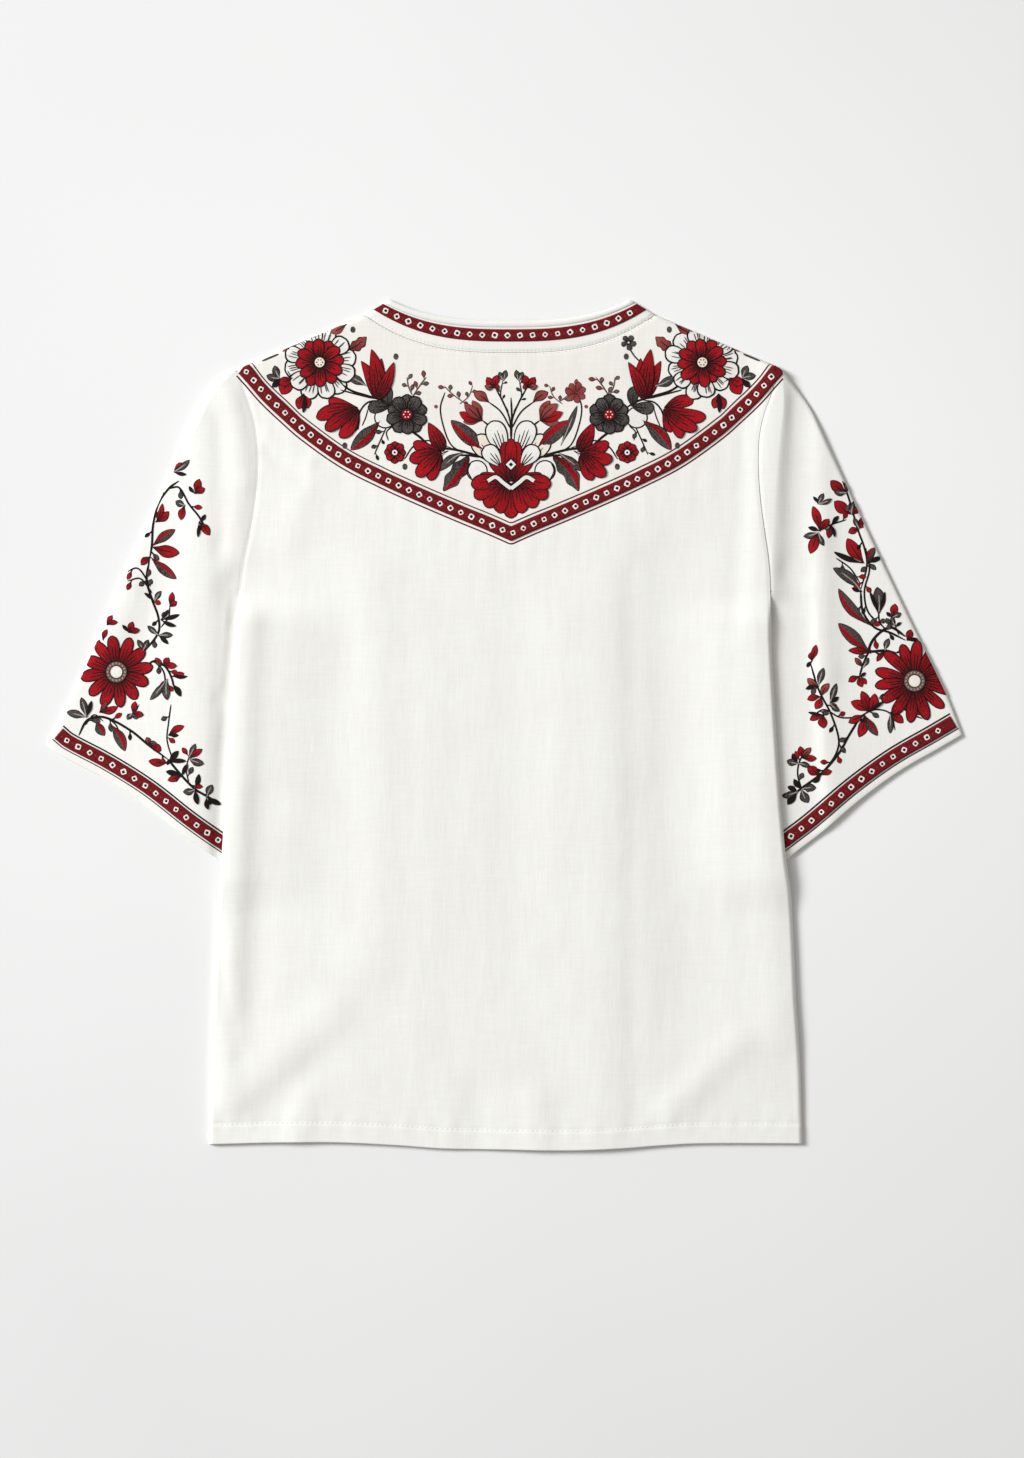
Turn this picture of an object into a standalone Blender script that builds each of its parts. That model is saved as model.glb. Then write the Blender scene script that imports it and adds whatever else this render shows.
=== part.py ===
"""A short-sleeved v-neck blouse laid flat on its front, so that its back panel is on top.

The frame is +Z up, +X to the right as the blouse is seen from above and +Y towards the neck.
The origin is the middle of the blouse on the surface that it lies on.
Every size below is in millimetres, and meshes are scaled to metres when they are made.
"""

import math

import bmesh
import bpy
from mathutils import Vector

MM = 0.001

# Walls, gaps and rounded edges.
WALL = 1.1
SEAM_GAP = 0.3
ARMHOLE_GAP = 0.55
ARMPIT_GAP = 0.6
SHOULDER_TIP_GAP = 0.95
EDGE_GAP = 0.5
TRIM_WALL = 1.0
TRIM_GAP = 0.5
BODY_ROLL = 4.0
SLEEVE_ROLL = 3.0
SLEEVE_FOLD_HEIGHT = 1.35
SLEEVE_EDGE_WALL = 1.2
SLEEVE_INNER_ROLL = 1.9
LOWER_ROLL_SHARE = 0.3
TRIM_ROLL = 0.9
ROLL_ANGLES = (0.0, 12.0, 38.0, 64.0, 90.0)
LEAST_HOLLOW = 0.5
MOST_HOLLOW = 3.4

# Neck: half widths, heights at the middle and the rise to each side.
NECK_MIDDLE = 3.9
NECK_HALF = 93.6
NECK_HEIGHT = 315.1
NECK_RISE = 16.4
BAND_HALF = 113.1
BAND_HEIGHT = 290.2
BAND_RISE = 29.6
NECK_CURVE = 2.8
V_NECK_HEIGHT = 161.5
V_BAND_HEIGHT = 115.0
V_CURVE = 1.0  # a straight V
V_SEAM_GAP = 0.6
NECK_SEAM_GAP = 0.55
BINDING_DEPTH = 0.22
BINDING_SHARES = (0.0, 0.08, 0.35, 0.65, 0.92, 1.0)
TAPE_DEPTHS = (0.27, 0.66)

# Shoulders, armpits and the stretch where each sleeve's hem lies under the body's side.
SHOULDER_HALF = 213.0
SHOULDER_HEIGHT = 277.3
ARMPIT_HALF = 206.7
ARMPIT_HEIGHT = 103.7
ARMPIT_GAP_SHARE = 0.1
SHOULDER_TIP_START = 0.88
SIDE_ROLL_START = 3.0
SIDE_ROLL_RUN = 14.0
SHOULDER_ROLL_START = 8.0
SHOULDER_ROLL_RUN = 6.0
TUCK_TOP = 78.0
TUCK_FOOT = -116.0
TUCK_RELEASE = -150.0
TUCK_LIFT = 3.4
LIFT_FULL = 12.0
LIFT_NONE = 34.0
COVER_REACH = 10.0
COVER_RUN = 9.0
COVER_BLEND = 16.0

# Turned hem of the body and the border on each sleeve's hem.
HEM_DEPTH = 15.5
HEM_EXTRA = 0.35
CUFF_TAPE_FOOT = 7.5
CUFF_TAPE_TOP = 17.5
CUFF_ZONE = 21.0
CUFF_TAPE_MARGINS = (11.5, 4.0)
CUFF_TAPE_EASE = 0.1

# Yoke border.
YOKE_MIDDLE = 4.7
YOKE_TAPE_INSET = 2.2
YOKE_TAPE_WIDTH = 11.0
YOKE_TAPE_ENDS = (203.0, 196.0)

# The body's outline: height, half width, and the middle's place across.
BODY_SIDES = (
    (-332.0, 231.6, 0.4),
    (-261.0, 229.7, 0.4),
    (-214.0, 227.4, -0.3),
    (-136.0, 223.5, -0.2),
    (-100.0, 219.5, -1.0),
    (-43.0, 215.6, -1.8),
    (19.5, 211.4, -1.5),
    (66.0, 208.6, -1.0),
    (103.7, 206.7, 0.0),
    (127.0, 204.4, 0.9),
    (152.0, 199.8, 2.0),
    (175.5, 196.4, 2.4),
    (199.0, 194.6, 2.6),
    (222.0, 195.2, 2.5),
    (240.0, 198.4, 2.6),
    (256.0, 204.0, 2.8),
    (268.0, 208.0, 2.5),
    (278.0, 211.0, 2.0),
)

# The hem's line: place across, and height.
HEM_LINE = (
    (-232.0, -326.8),
    (-175.0, -325.3),
    (-129.0, -325.3),
    (-82.0, -327.6),
    (-50.0, -329.9),
    (0.0, -330.9),
    (50.0, -331.5),
    (90.0, -329.9),
    (121.0, -327.6),
    (152.0, -326.0),
    (232.0, -326.0),
)

# The fold along the top of each sleeve, below the shoulder: place across, and height.
SLEEVE_FOLD = {
    "left": (
        (-215.5, 273.9),
        (-222.3, 267.5),
        (-229.5, 259.0),
        (-239.5, 239.5),
        (-251.2, 214.5),
        (-276.9, 158.3),
        (-308.1, 88.1),
        (-337.7, 21.8),
        (-356.5, -15.6),
    ),
    "right": (
        (218.2, 273.4),
        (223.6, 267.0),
        (231.0, 257.2),
        (239.5, 244.1),
        (253.5, 214.5),
        (276.9, 163.8),
        (312.0, 89.7),
        (343.2, 25.7),
        (356.5, -7.8),
    ),
}

# Each sleeve's hem, from the body outwards: place across, and height.
SLEEVE_HEM = {
    "left": (
        (-213.5, -111.5),
        (-226.2, -103.0),
        (-253.5, -83.5),
        (-284.7, -59.3),
        (-315.9, -39.8),
        (-347.1, -23.2),
        (-356.5, -15.6),
    ),
    "right": (
        (214.0, -109.0),
        (229.3, -97.5),
        (245.7, -85.0),
        (276.9, -58.5),
        (308.1, -35.9),
        (339.3, -17.9),
        (356.5, -7.8),
    ),
}

# How far each sleeve's underarm edge lies inside the body's edge: height, and depth.
UNDERARM = (
    (-120.0, 7.0),
    (-60.0, 7.0),
    (0.0, 7.0),
    (45.0, 5.5),
    (78.0, -0.6),
    (103.7, -0.6),
)

# The foot of the yoke's border: distance from the yoke's middle, and height.
YOKE_FOOT = (
    (0.0, 141.0),
    (20.0, 149.8),
    (39.0, 157.6),
    (70.0, 170.8),
    (101.0, 184.8),
    (133.0, 201.2),
    (164.0, 223.0),
    (180.0, 237.0),
    (195.0, 251.3),
    (207.0, 265.0),
)

# The crease at the right sleeve's cap: height, and place across.
CAP_CREASE = (
    (104.0, 207.0),
    (140.0, 208.0),
    (190.0, 211.0),
    (222.0, 214.5),
    (250.0, 219.0),
    (270.0, 217.0),
)
CAP_RISE = 1.6
CAP_OUTER_SLOPE = 9.0
CAP_INNER_SLOPE = 34.0
CAP_FOOT = 116.0
CAP_BLEND = 34.0

# Folds near the armholes, on body and sleeve alike: start, end, reach to each side, and height.
ARMHOLE_FOLDS = (
    (-212.0, 258.0, -203.0, 190.0, 9.0, 0.8),
    (-203.0, 190.0, -207.0, 132.0, 9.0, 0.5),
    (-224.0, 236.0, -221.0, 140.0, 9.0, -0.8),
    (222.0, 246.0, 222.0, 140.0, 9.0, -1.1),
)

# Folds of the back panel, in the same columns.
BODY_FOLDS = (
    (-200.0, 84.0, -216.0, -292.0, 11.0, 1.0),
    (-187.0, 140.0, -192.0, -60.0, 14.0, -1.1),
    (-192.0, -60.0, -200.0, -222.0, 14.0, -1.0),
    (-150.0, 60.0, -140.0, -180.0, 30.0, 0.5),
    (74.0, 90.0, 76.0, -320.0, 30.0, 0.8),
    (131.0, 129.0, 134.0, -60.0, 25.0, -1.2),
    (134.0, -60.0, 146.0, -214.0, 25.0, -1.2),
    (196.0, 60.0, 212.0, -240.0, 15.0, 1.2),
    (-136.0, -226.0, -206.0, -288.0, 13.0, 1.6),
    (-142.0, -256.0, -186.0, -300.0, 13.0, -0.8),
    (-156.0, -290.0, -163.0, -326.0, 12.0, 0.7),
    (-20.0, -290.0, -22.0, -330.0, 14.0, -0.7),
    (24.0, -296.0, 26.0, -330.0, 14.0, 0.7),
    (183.0, -246.0, 129.0, -300.0, 13.0, 0.9),
    (-150.0, 196.0, -168.0, 144.0, 13.0, 0.5),
)

# Folds of the sleeves below their caps, in the same columns.
SLEEVE_FOLDS = (
    (-221.0, 128.0, -219.0, 20.0, 9.0, -0.9),
    (-219.0, 20.0, -225.0, -80.0, 10.0, -0.8),
    (-236.0, 235.0, -238.0, 120.0, 13.0, 1.0),
    (-238.0, 120.0, -242.0, -10.0, 13.0, 1.0),
    (-242.0, -10.0, -246.0, -80.0, 13.0, 0.7),
    (-290.0, 112.0, -306.0, 66.0, 13.0, 0.8),
    (-270.0, 104.0, -282.0, 60.0, 13.0, -0.7),
    (222.0, 128.0, 227.0, 20.0, 9.0, -1.1),
    (227.0, 20.0, 231.0, -90.0, 10.0, -1.1),
    (239.0, 232.0, 243.0, 150.0, 11.0, 1.0),
    (243.0, 150.0, 245.0, 40.0, 12.0, 1.1),
    (245.0, 40.0, 251.0, -60.0, 13.0, 0.8),
    (266.0, 150.0, 276.0, 40.0, 13.0, -0.7),
    (304.0, 84.0, 322.0, 30.0, 14.0, 0.6),
)

# Heights of the hollow between the layers before folds are added.
BODY_LEVEL = 1.9
SHOULDER_FALL = 0.9
SHOULDER_FALL_START = 215.0
SHOULDER_FALL_RUN = 90.0
HEM_FALL = 0.6
HEM_FALL_START = -250.0
HEM_FALL_RUN = 76.0
ARMPIT_FALL = 2.6
ARMPIT_REACH = 34.0

WHITE_LINEN = (0.86, 0.86, 0.84)
WHITE_BAND = (0.83, 0.83, 0.80)
RED_BRAID = (0.24, 0.016, 0.02)
CLOTH_ROUGHNESS = 0.9
BRAID_ROUGHNESS = 0.8

# Columns of the panels: insets at each side, and steps along the neck and along a shoulder.
SIDE_INSETS = (12.0, 22.0, LIFT_NONE)
NECK_STEPS = 20
SHOULDER_STEPS = 5

# Steps and limits of the other nets, and the rounds in which a point's place settles.
SLEEVE_UPPER_STEPS = 11
SLEEVE_LOWER_STEPS = 8
SLEEVE_TIP_SHARE = 0.012
NARROW_WIDTH = 12.0
ARMHOLE_ROWS = 11
UNDERARM_ROWS = 8
V_BAND_STEPS = 12
YOKE_STEPS = 44
BODY_ROUNDS = 12
SLEEVE_ROUNDS = 3

# Rows of the panels: heights at their sides, and the steps up to each from the one before.
PANEL_ROWS = (
    (TUCK_RELEASE, 5),
    (TUCK_FOOT, 1),
    (TUCK_TOP, 6),
    (ARMPIT_HEIGHT, 1),
    (SHOULDER_HEIGHT, 11),
)


def smooth_step(value):
    """0 up to 0, 1 from 1 on, with a soft rise between."""
    value = max(0.0, min(1.0, value))
    return value * value * (3.0 - 2.0 * value)


def even_steps(start, end, count):
    return [start + (end - start) * i / count for i in range(count + 1)]


def read_table(table, place, index=1):
    """The value in a column at a place, on a smooth line through a table in rising order."""
    last = len(table) - 1
    place = max(table[0][0], min(table[last][0], place))
    i = max(k for k in range(last) if table[k][0] <= place)
    span = table[i + 1][0] - table[i][0]
    ends = []
    for k in (i, i + 1):
        before, after = table[max(0, k - 1)], table[min(last, k + 1)]
        ends.append(span * (after[index] - before[index]) / (after[0] - before[0]))
    t = (place - table[i][0]) / span
    rise = t * t * (3.0 - 2.0 * t)
    value = table[i][index] * (1.0 - rise) + table[i + 1][index] * rise
    return value + ends[0] * t * (1.0 - t) ** 2 - ends[1] * t * t * (1.0 - t)


def along_path(points, share):
    """The point at a share of the length of a smooth path through points."""
    table = [(0.0, *points[0])]
    for a, b in zip(points, points[1:]):
        table.append((table[-1][0] + math.dist(a, b), *b))
    place = share * table[-1][0]
    return Vector((read_table(table, place, 1), read_table(table, place, 2)))


def half_width(y):
    return read_table(BODY_SIDES, y, 1)


def middle(y):
    return read_table(BODY_SIDES, y, 2)


def hem_line(x):
    return read_table(HEM_LINE, x)


def edge_distance(x, y):
    """Distance into the body from its side edge."""
    return half_width(y) - abs(x - middle(y))


def neck_line(x, height, rise, half, curve):
    """A line around the neck, which goes on as the shoulder beyond its half width."""
    away = abs(x - NECK_MIDDLE)
    if away < half:
        return height + rise * (away / half) ** curve
    share = (away - half) / (SHOULDER_HALF - half)
    return height + rise + (SHOULDER_HEIGHT - height - rise) * min(share, 1.0)


def back_top(x):
    """Height of the back panel's upper edge, just below the neckband's seam."""
    return neck_line(x, BAND_HEIGHT, BAND_RISE, BAND_HALF, NECK_CURVE) - NECK_SEAM_GAP


def front_top(x):
    """Height of the front panel's upper edge, which runs down into the V."""
    rise = BAND_HEIGHT + BAND_RISE - V_BAND_HEIGHT
    return neck_line(x, V_BAND_HEIGHT, rise, BAND_HALF, V_CURVE) - V_SEAM_GAP


def lift(x, y):
    """How far the body stands off the surface, where a sleeve lies under its side."""
    along = smooth_step((ARMPIT_HEIGHT - y) / (ARMPIT_HEIGHT - TUCK_TOP))
    along *= smooth_step((y - TUCK_RELEASE) / (TUCK_FOOT - TUCK_RELEASE))
    inward = smooth_step((edge_distance(x, y) - LIFT_FULL) / (LIFT_NONE - LIFT_FULL))
    return TUCK_LIFT * along * (1.0 - inward)


def fold_height(x, y, folds):
    """The sum of some folds at a point, each a rounded ridge or trough along its line."""
    total = 0.0
    for x0, y0, x1, y1, reach, height in folds:
        run = Vector((x1 - x0, y1 - y0))
        offset = Vector((x - x0, y - y0))
        share = max(0.0, min(1.0, offset.dot(run) / run.length_squared))
        away = (offset - run * share).length
        total += height * math.exp(-((away / reach) ** 2))
    return total


def hollow(level):
    """A hollow between two layers, held between its least and its most."""
    centre = (LEAST_HOLLOW + MOST_HOLLOW) / 2
    room = (MOST_HOLLOW - LEAST_HOLLOW) / 2
    return centre + room * math.tanh((level - centre) / room)


def shared_level(x, y):
    """The part of the hollow's height that is the same on both sides of an armhole seam."""
    level = BODY_LEVEL + fold_height(x, y, ARMHOLE_FOLDS)
    level -= SHOULDER_FALL * smooth_step((y - SHOULDER_FALL_START) / SHOULDER_FALL_RUN)
    away = math.hypot(abs(x) - ARMPIT_HALF, y - ARMPIT_HEIGHT)
    level -= ARMPIT_FALL * (1.0 - smooth_step(away / ARMPIT_REACH))
    past_crease = x - read_table(CAP_CREASE, y)
    slope = CAP_OUTER_SLOPE if past_crease > 0.0 else CAP_INNER_SLOPE
    cap = 1.0 - smooth_step(abs(past_crease) / slope)
    return level + CAP_RISE * cap * smooth_step((y - CAP_FOOT) / CAP_BLEND)


def body_top(x, y):
    """Height of the back panel's outer face above the surface, before its edges turn down."""
    level = shared_level(x, y) + fold_height(x, y, BODY_FOLDS)
    level -= HEM_FALL * smooth_step((HEM_FALL_START - y) / HEM_FALL_RUN)
    hem = HEM_EXTRA * (1.0 - smooth_step(y - hem_line(x) - HEM_DEPTH))
    return 2 * WALL + lift(x, y) + hollow(level) + hem


def sleeve_top(x, y):
    """Height of a sleeve's upper face above the surface, before its edges turn down."""
    level = shared_level(x, y) + fold_height(x, y, SLEEVE_FOLDS)
    covered = smooth_step((edge_distance(x, y) + COVER_REACH) / COVER_RUN)
    covered *= smooth_step((ARMPIT_HEIGHT - y) / COVER_BLEND)
    return 2 * WALL + hollow(level * (1.0 - covered))


def turned(distance, roll):
    """The share of its height that a rounded edge has reached at a distance in from it."""
    return math.sqrt(max(0.0, 1.0 - max(0.0, 1.0 - distance / roll) ** 2))


def roll_steps(roll):
    """Distances in from a rounded edge, close together where it bends most."""
    return [roll * (1.0 - math.cos(math.radians(angle))) for angle in ROLL_ANGLES]


def back_height(x, y):
    """The back panel's outer face, with its sides and shoulders turned down."""
    least = WALL + EDGE_GAP + lift(x, y)
    at_side = smooth_step((ARMPIT_HEIGHT + SIDE_ROLL_START - y) / SIDE_ROLL_RUN)
    side = 1.0 - at_side * (1.0 - turned(edge_distance(x, y), BODY_ROLL))
    past_band = abs(x - NECK_MIDDLE) - BAND_HALF + SHOULDER_ROLL_START
    at_shoulder = smooth_step(past_band / SHOULDER_ROLL_RUN)
    shoulder = 1.0 - at_shoulder * (1.0 - turned(back_top(x) - y, BODY_ROLL))
    return least + (body_top(x, y) - least) * side * shoulder


def front_height(x, y):
    return WALL + lift(x, y)


def fabric(name, colour, roughness):
    """A plain cloth material."""
    made = bpy.data.materials.new(name)
    made.use_nodes = True
    shader = made.node_tree.nodes["Principled BSDF"]
    shader.inputs["Base Color"].default_value = (*colour, 1.0)
    shader.inputs["Roughness"].default_value = roughness
    shader.inputs["Metallic"].default_value = 0.0
    return made


def add_piece(name, bm, material):
    """A node of the blouse from a bmesh, which it frees."""
    mesh = bpy.data.meshes.new(name)
    bm.to_mesh(mesh)
    bm.free()
    mesh.shade_smooth()
    mesh.materials.append(material)
    piece = bpy.data.objects.new(name, mesh)
    group.objects.link(piece)
    return piece


def cloth_piece(name, net, wall, material):
    """A piece of cloth whose outer face goes through a net of points, its wall inside that."""
    bm = bmesh.new()
    grid = bmesh.ops.create_grid(bm, x_segments=len(net[0]) - 1, y_segments=len(net) - 1, size=1.0)
    for vertex, place in zip(grid["verts"], [point for row in net for point in row]):
        vertex.co = Vector(place) * MM
    solid = add_piece(name, bm, material).modifiers.new("wall", "SOLIDIFY")
    solid.thickness = wall * MM
    solid.offset = -1.0
    solid.use_even_offset = True


def panel_columns(edges, neck_steps, shoulder_steps):
    """Columns of a body panel as (share of the width, inset), edges being the outermost insets."""
    insets = [*edges, *SIDE_INSETS]
    neck_share = BAND_HALF / (SHOULDER_HALF - insets[-1])
    half = even_steps(0.0, neck_share, neck_steps // 2)
    half += even_steps(neck_share, 1.0, shoulder_steps)[1:]
    right = [(share, insets[-1]) for share in half] + [(1.0, inset) for inset in insets[-2::-1]]
    return [(-share, inset) for share, inset in right[:0:-1]] + right


def panel_rows(feet, tops):
    """Rows of a body panel as (share of the length, inset at the foot, inset at the top)."""
    low = hem_line(ARMPIT_HALF) + feet[-1]
    length = SHOULDER_HEIGHT - tops[-1] - low
    shares = [0.0]
    for height, count in PANEL_ROWS:
        share = min((height - low) / length, 1.0)
        shares += even_steps(shares[-1], share, count)[1:]
    rows = [(0.0, foot, 0.0) for foot in feet[:-1]]
    rows += [(share, feet[-1], tops[-1]) for share in shares]
    return rows + [(1.0, 0.0, top) for top in tops[-2::-1]]


def body_net(columns, rows, top_line, height):
    """The points of a body panel between the hem and its upper edge."""
    net = []
    for length_share, foot, top in rows:
        row = []
        for width_share, inset in columns:
            x, y = 0.0, 0.0
            for _ in range(BODY_ROUNDS):
                centre = NECK_MIDDLE + (middle(y) - NECK_MIDDLE) * abs(width_share)
                x = centre + width_share * (half_width(y) - inset)
                low, high = hem_line(x) + foot, top_line(x) - top
                y = low + length_share * (high - low)
            row.append((x, y, height(x, y)))
        net.append(row)
    return net


def make_body(material):
    rolls = roll_steps(BODY_ROLL)
    feet = (0.0, HEM_DEPTH, HEM_DEPTH + 1.0)
    back = body_net(
        panel_columns(rolls, NECK_STEPS, SHOULDER_STEPS), panel_rows(feet, rolls), back_top, back_height
    )
    cloth_piece("back_panel", back, WALL, material)
    front = body_net(
        panel_columns([0.0], NECK_STEPS // 2, 1), panel_rows(feet, [rolls[-1]]), front_top, front_height
    )
    cloth_piece("front_panel", front, WALL, material)


def sleeve_inner_x(sign, y):
    """Place across of a sleeve's edge beside the body: its armhole, and its underarm edge below."""
    share = (y - ARMPIT_HEIGHT) / (SHOULDER_HEIGHT - ARMPIT_HEIGHT)
    if share > 0.0:
        out = ARMHOLE_GAP + (ARMPIT_GAP - ARMHOLE_GAP) * (1.0 - smooth_step(share / ARMPIT_GAP_SHARE))
        past_tip = (share - SHOULDER_TIP_START) / (1.0 - SHOULDER_TIP_START)
        out += (SHOULDER_TIP_GAP - ARMHOLE_GAP) * smooth_step(past_tip)
    else:
        out = -read_table(UNDERARM, y)
    return middle(y) + sign * (half_width(y) + out)


def sleeve_patch(side):
    """A function that gives a sleeve's plan point: across from the body to the fold, and along."""
    sign = -1.0 if side == "left" else 1.0
    hem_points = SLEEVE_HEM[side]

    def inner(along):
        height = SHOULDER_HEIGHT + (hem_points[0][1] - SHOULDER_HEIGHT) * along
        return Vector((sleeve_inner_x(sign, height), height))

    fold_points = (tuple(inner(0.0)),) + SLEEVE_FOLD[side]
    foot, tip = inner(1.0), along_path(hem_points, 1.0)

    def place(across, along):
        point = inner(along) * (1.0 - across) + along_path(fold_points, along) * across
        return point + (along_path(hem_points, across) - foot.lerp(tip, across)) * along

    return place


def sleeve_spot(place, column, row):
    """Plan point of a sleeve for (share, inset) across and (share, inset from the hem) along."""
    share, inset = column
    length_share, from_hem = row
    across, along = share, length_share
    for _ in range(SLEEVE_ROUNDS):
        width = (place(1.0, along) - place(0.0, along)).length
        length = (place(across, 1.0) - place(across, 0.0)).length
        fitted = inset * min(1.0, width / NARROW_WIDTH)
        across = share + fitted * (1.0 - 2.0 * share) / width
        along = length_share * (1.0 - from_hem / length)
    return place(across, along)


def sleeve_rows(side):
    """Rows of a sleeve as (share, inset from the hem), and how many are open along the armhole."""
    hem_height = SLEEVE_HEM[side][0][1]
    drop = SHOULDER_HEIGHT - hem_height
    armpit = (SHOULDER_HEIGHT - ARMPIT_HEIGHT) / (drop - CUFF_ZONE)
    shares = even_steps(SLEEVE_TIP_SHARE, armpit, ARMHOLE_ROWS)
    shares += even_steps(armpit, 1.0, UNDERARM_ROWS)[1:]
    rows = [(share, CUFF_ZONE) for share in shares]
    rows += [(1.0, inset) for inset in (CUFF_TAPE_TOP, CUFF_TAPE_FOOT, 0.0)]
    return rows, ARMHOLE_ROWS


def sleeve_skin(side, walls, upper_roll, lower_roll):
    """Rings of one skin of a sleeve, from the body to the fold above and back to the body below.

    walls are the distances that the skin stays inside the sleeve's edges and faces.
    """
    place = sleeve_patch(side)
    edge_wall, face_wall = walls
    sides = roll_steps(upper_roll)
    lower_side = lower_roll * LOWER_ROLL_SHARE
    upper = [(0.0, inset) for inset in sides[:-1]]
    upper += [(share, sides[-1]) for share in even_steps(0.0, 1.0, SLEEVE_UPPER_STEPS)]
    upper += [(1.0, inset) for inset in reversed(sides[:-1])]
    lower = [(1.0, lower_side)]
    lower += [(share, lower_roll) for share in even_steps(1.0, 0.0, SLEEVE_LOWER_STEPS)]
    lower += [(0.0, lower_side), (0.0, 0.0)]
    rows, open_rows = sleeve_rows(side)
    rings = []
    for i, row in enumerate(rows):
        ring = []
        for columns, roll in ((upper, upper_roll), (lower, lower_roll)):
            for share, inset in columns:
                is_open = share == 0.0 and i < open_rows
                margin = inset if is_open else inset + edge_wall
                point = sleeve_spot(place, (share, margin), row)
                face = sleeve_top(*point) - face_wall if columns is upper else face_wall
                rise = (face - SLEEVE_FOLD_HEIGHT) * (1.0 if is_open else turned(inset, roll))
                ring.append((*point, SLEEVE_FOLD_HEIGHT + rise))
        rings.append(ring)
    return rings, open_rows


def sleeve_solid(name, outer, inner, open_rows, material):
    """A flattened tube of cloth from the rings of its skins, its first rings open beside the body."""
    bm = bmesh.new()
    skins = []
    for rings in (outer, inner):
        skin = []
        for i, ring in enumerate(rings):
            verts = [bm.verts.new(Vector(point) * MM) for point in ring[:-1]]
            verts.append(bm.verts.new(Vector(ring[-1]) * MM) if i < open_rows else verts[0])
            skin.append(verts)
        skins.append(skin)
        for ring, following in zip(skin, skin[1:]):
            bridge(bm, ring, following)
    for end in (0, -1):
        bridge(bm, skins[0][end], skins[1][end])
    for side in (0, -1):
        edges = [[ring[side] for ring in skin[: open_rows + 1]] for skin in skins]
        bridge(bm, *edges)
    bmesh.ops.recalc_face_normals(bm, faces=bm.faces)
    add_piece(name, bm, material)


def bridge(bm, line, other):
    """Faces between two lines of vertices."""
    for k in range(len(line) - 1):
        bm.faces.new((line[k], line[k + 1], other[k + 1], other[k]))


def make_sleeve(side, material, braid):
    """One sleeve as a flattened tube, and the braid on its hem."""
    place = sleeve_patch(side)
    outer, open_rows = sleeve_skin(side, (0.0, 0.0), SLEEVE_ROLL, SLEEVE_FOLD_HEIGHT)
    walls = (SLEEVE_EDGE_WALL, WALL)
    inner, _ = sleeve_skin(side, walls, SLEEVE_INNER_ROLL, SLEEVE_FOLD_HEIGHT - WALL)
    sleeve_solid("sleeve_" + side, outer, inner, open_rows, material)

    first, last = CUFF_TAPE_MARGINS
    shares = even_steps(0.0, 1.0, SLEEVE_UPPER_STEPS)
    tape_columns = [(share, first + (last - first) * share) for share in shares]
    tape = []
    for inset in (CUFF_TAPE_TOP - CUFF_TAPE_EASE, CUFF_TAPE_FOOT + CUFF_TAPE_EASE):
        points = [sleeve_spot(place, column, (1.0, inset)) for column in tape_columns]
        above = TRIM_GAP + TRIM_WALL
        tape.append([(*point, sleeve_top(*point) + above) for point in points])
    order = tape if side == "left" else [row[::-1] for row in tape]
    cloth_piece("cuff_tape_" + side, order, TRIM_WALL, braid)


def band_point(share, depth, heights, curve):
    """A point of a neckband: share from -1 to 1 along it, depth from 0 at its edge to 1."""
    (edge_height, edge_rise), (seam_height, seam_rise) = heights
    rise = abs(share) ** curve
    edge = Vector((NECK_MIDDLE + NECK_HALF * share, edge_height + edge_rise * rise))
    seam = Vector((NECK_MIDDLE + BAND_HALF * share, seam_height + seam_rise * rise))
    return edge.lerp(seam, depth)


def back_band_net(depths, shares, above, rounded):
    """A strip along the back neck, on or level with the back panel."""
    heights = ((NECK_HEIGHT, NECK_RISE), (BAND_HEIGHT, BAND_RISE))
    least = WALL + EDGE_GAP
    width = NECK_HEIGHT - BAND_HEIGHT
    net = []
    for depth in reversed(depths):
        row = []
        for share in shares:
            point = band_point(share, depth, heights, NECK_CURVE)
            end = turned((1.0 - abs(share)) * BAND_HALF, BODY_ROLL)
            z = least + (body_top(*point) - least) * end + above
            if rounded:
                inset = min(depth - depths[0], depths[-1] - depth) * width
                z += TRIM_ROLL * turned(inset, TRIM_ROLL)
            row.append((*point, z))
        net.append(row)
    return net


def make_neck(material, braid):
    """The band, binding and braid of the back neck, and the two halves of the V-neck's band."""
    ends = [inset / BAND_HALF for inset in roll_steps(BODY_ROLL)]
    reach = 1.0 - ends[-1]
    trim_shares = even_steps(-reach, reach, NECK_STEPS)
    shares = [end - 1.0 for end in ends[:-1]] + trim_shares + [1.0 - end for end in ends[-2::-1]]
    gap = SEAM_GAP / (NECK_HEIGHT - BAND_HEIGHT)
    band_depths = (BINDING_DEPTH + gap, *TAPE_DEPTHS, 1.0)
    cloth_piece("neckband_back", back_band_net(band_depths, shares, 0.0, False), WALL, material)
    binding_depths = [BINDING_DEPTH * share for share in BINDING_SHARES]
    binding = back_band_net(binding_depths, [-1.0, *trim_shares, 1.0], 0.0, True)
    cloth_piece("neck_binding_back", binding, WALL, material)
    tape = back_band_net(TAPE_DEPTHS, trim_shares, TRIM_GAP + TRIM_WALL, False)
    cloth_piece("neck_tape", tape, TRIM_WALL, braid)

    seam = (V_BAND_HEIGHT, BAND_HEIGHT + BAND_RISE - V_BAND_HEIGHT)
    edge = (V_NECK_HEIGHT, NECK_HEIGHT + NECK_RISE - V_NECK_HEIGHT)
    half_gap = SEAM_GAP / 2 / NECK_HALF
    for side, sign in (("left", -1.0), ("right", 1.0)):
        v_shares = sorted(sign * share for share in even_steps(half_gap, 1.0, V_BAND_STEPS))
        net = []
        for depth in (1.0, 0.0):
            points = [band_point(share, depth, (edge, seam), V_CURVE) for share in v_shares]
            net.append([(*point, WALL) for point in points])
        cloth_piece("neckband_front_" + side, net, WALL, material)


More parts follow.
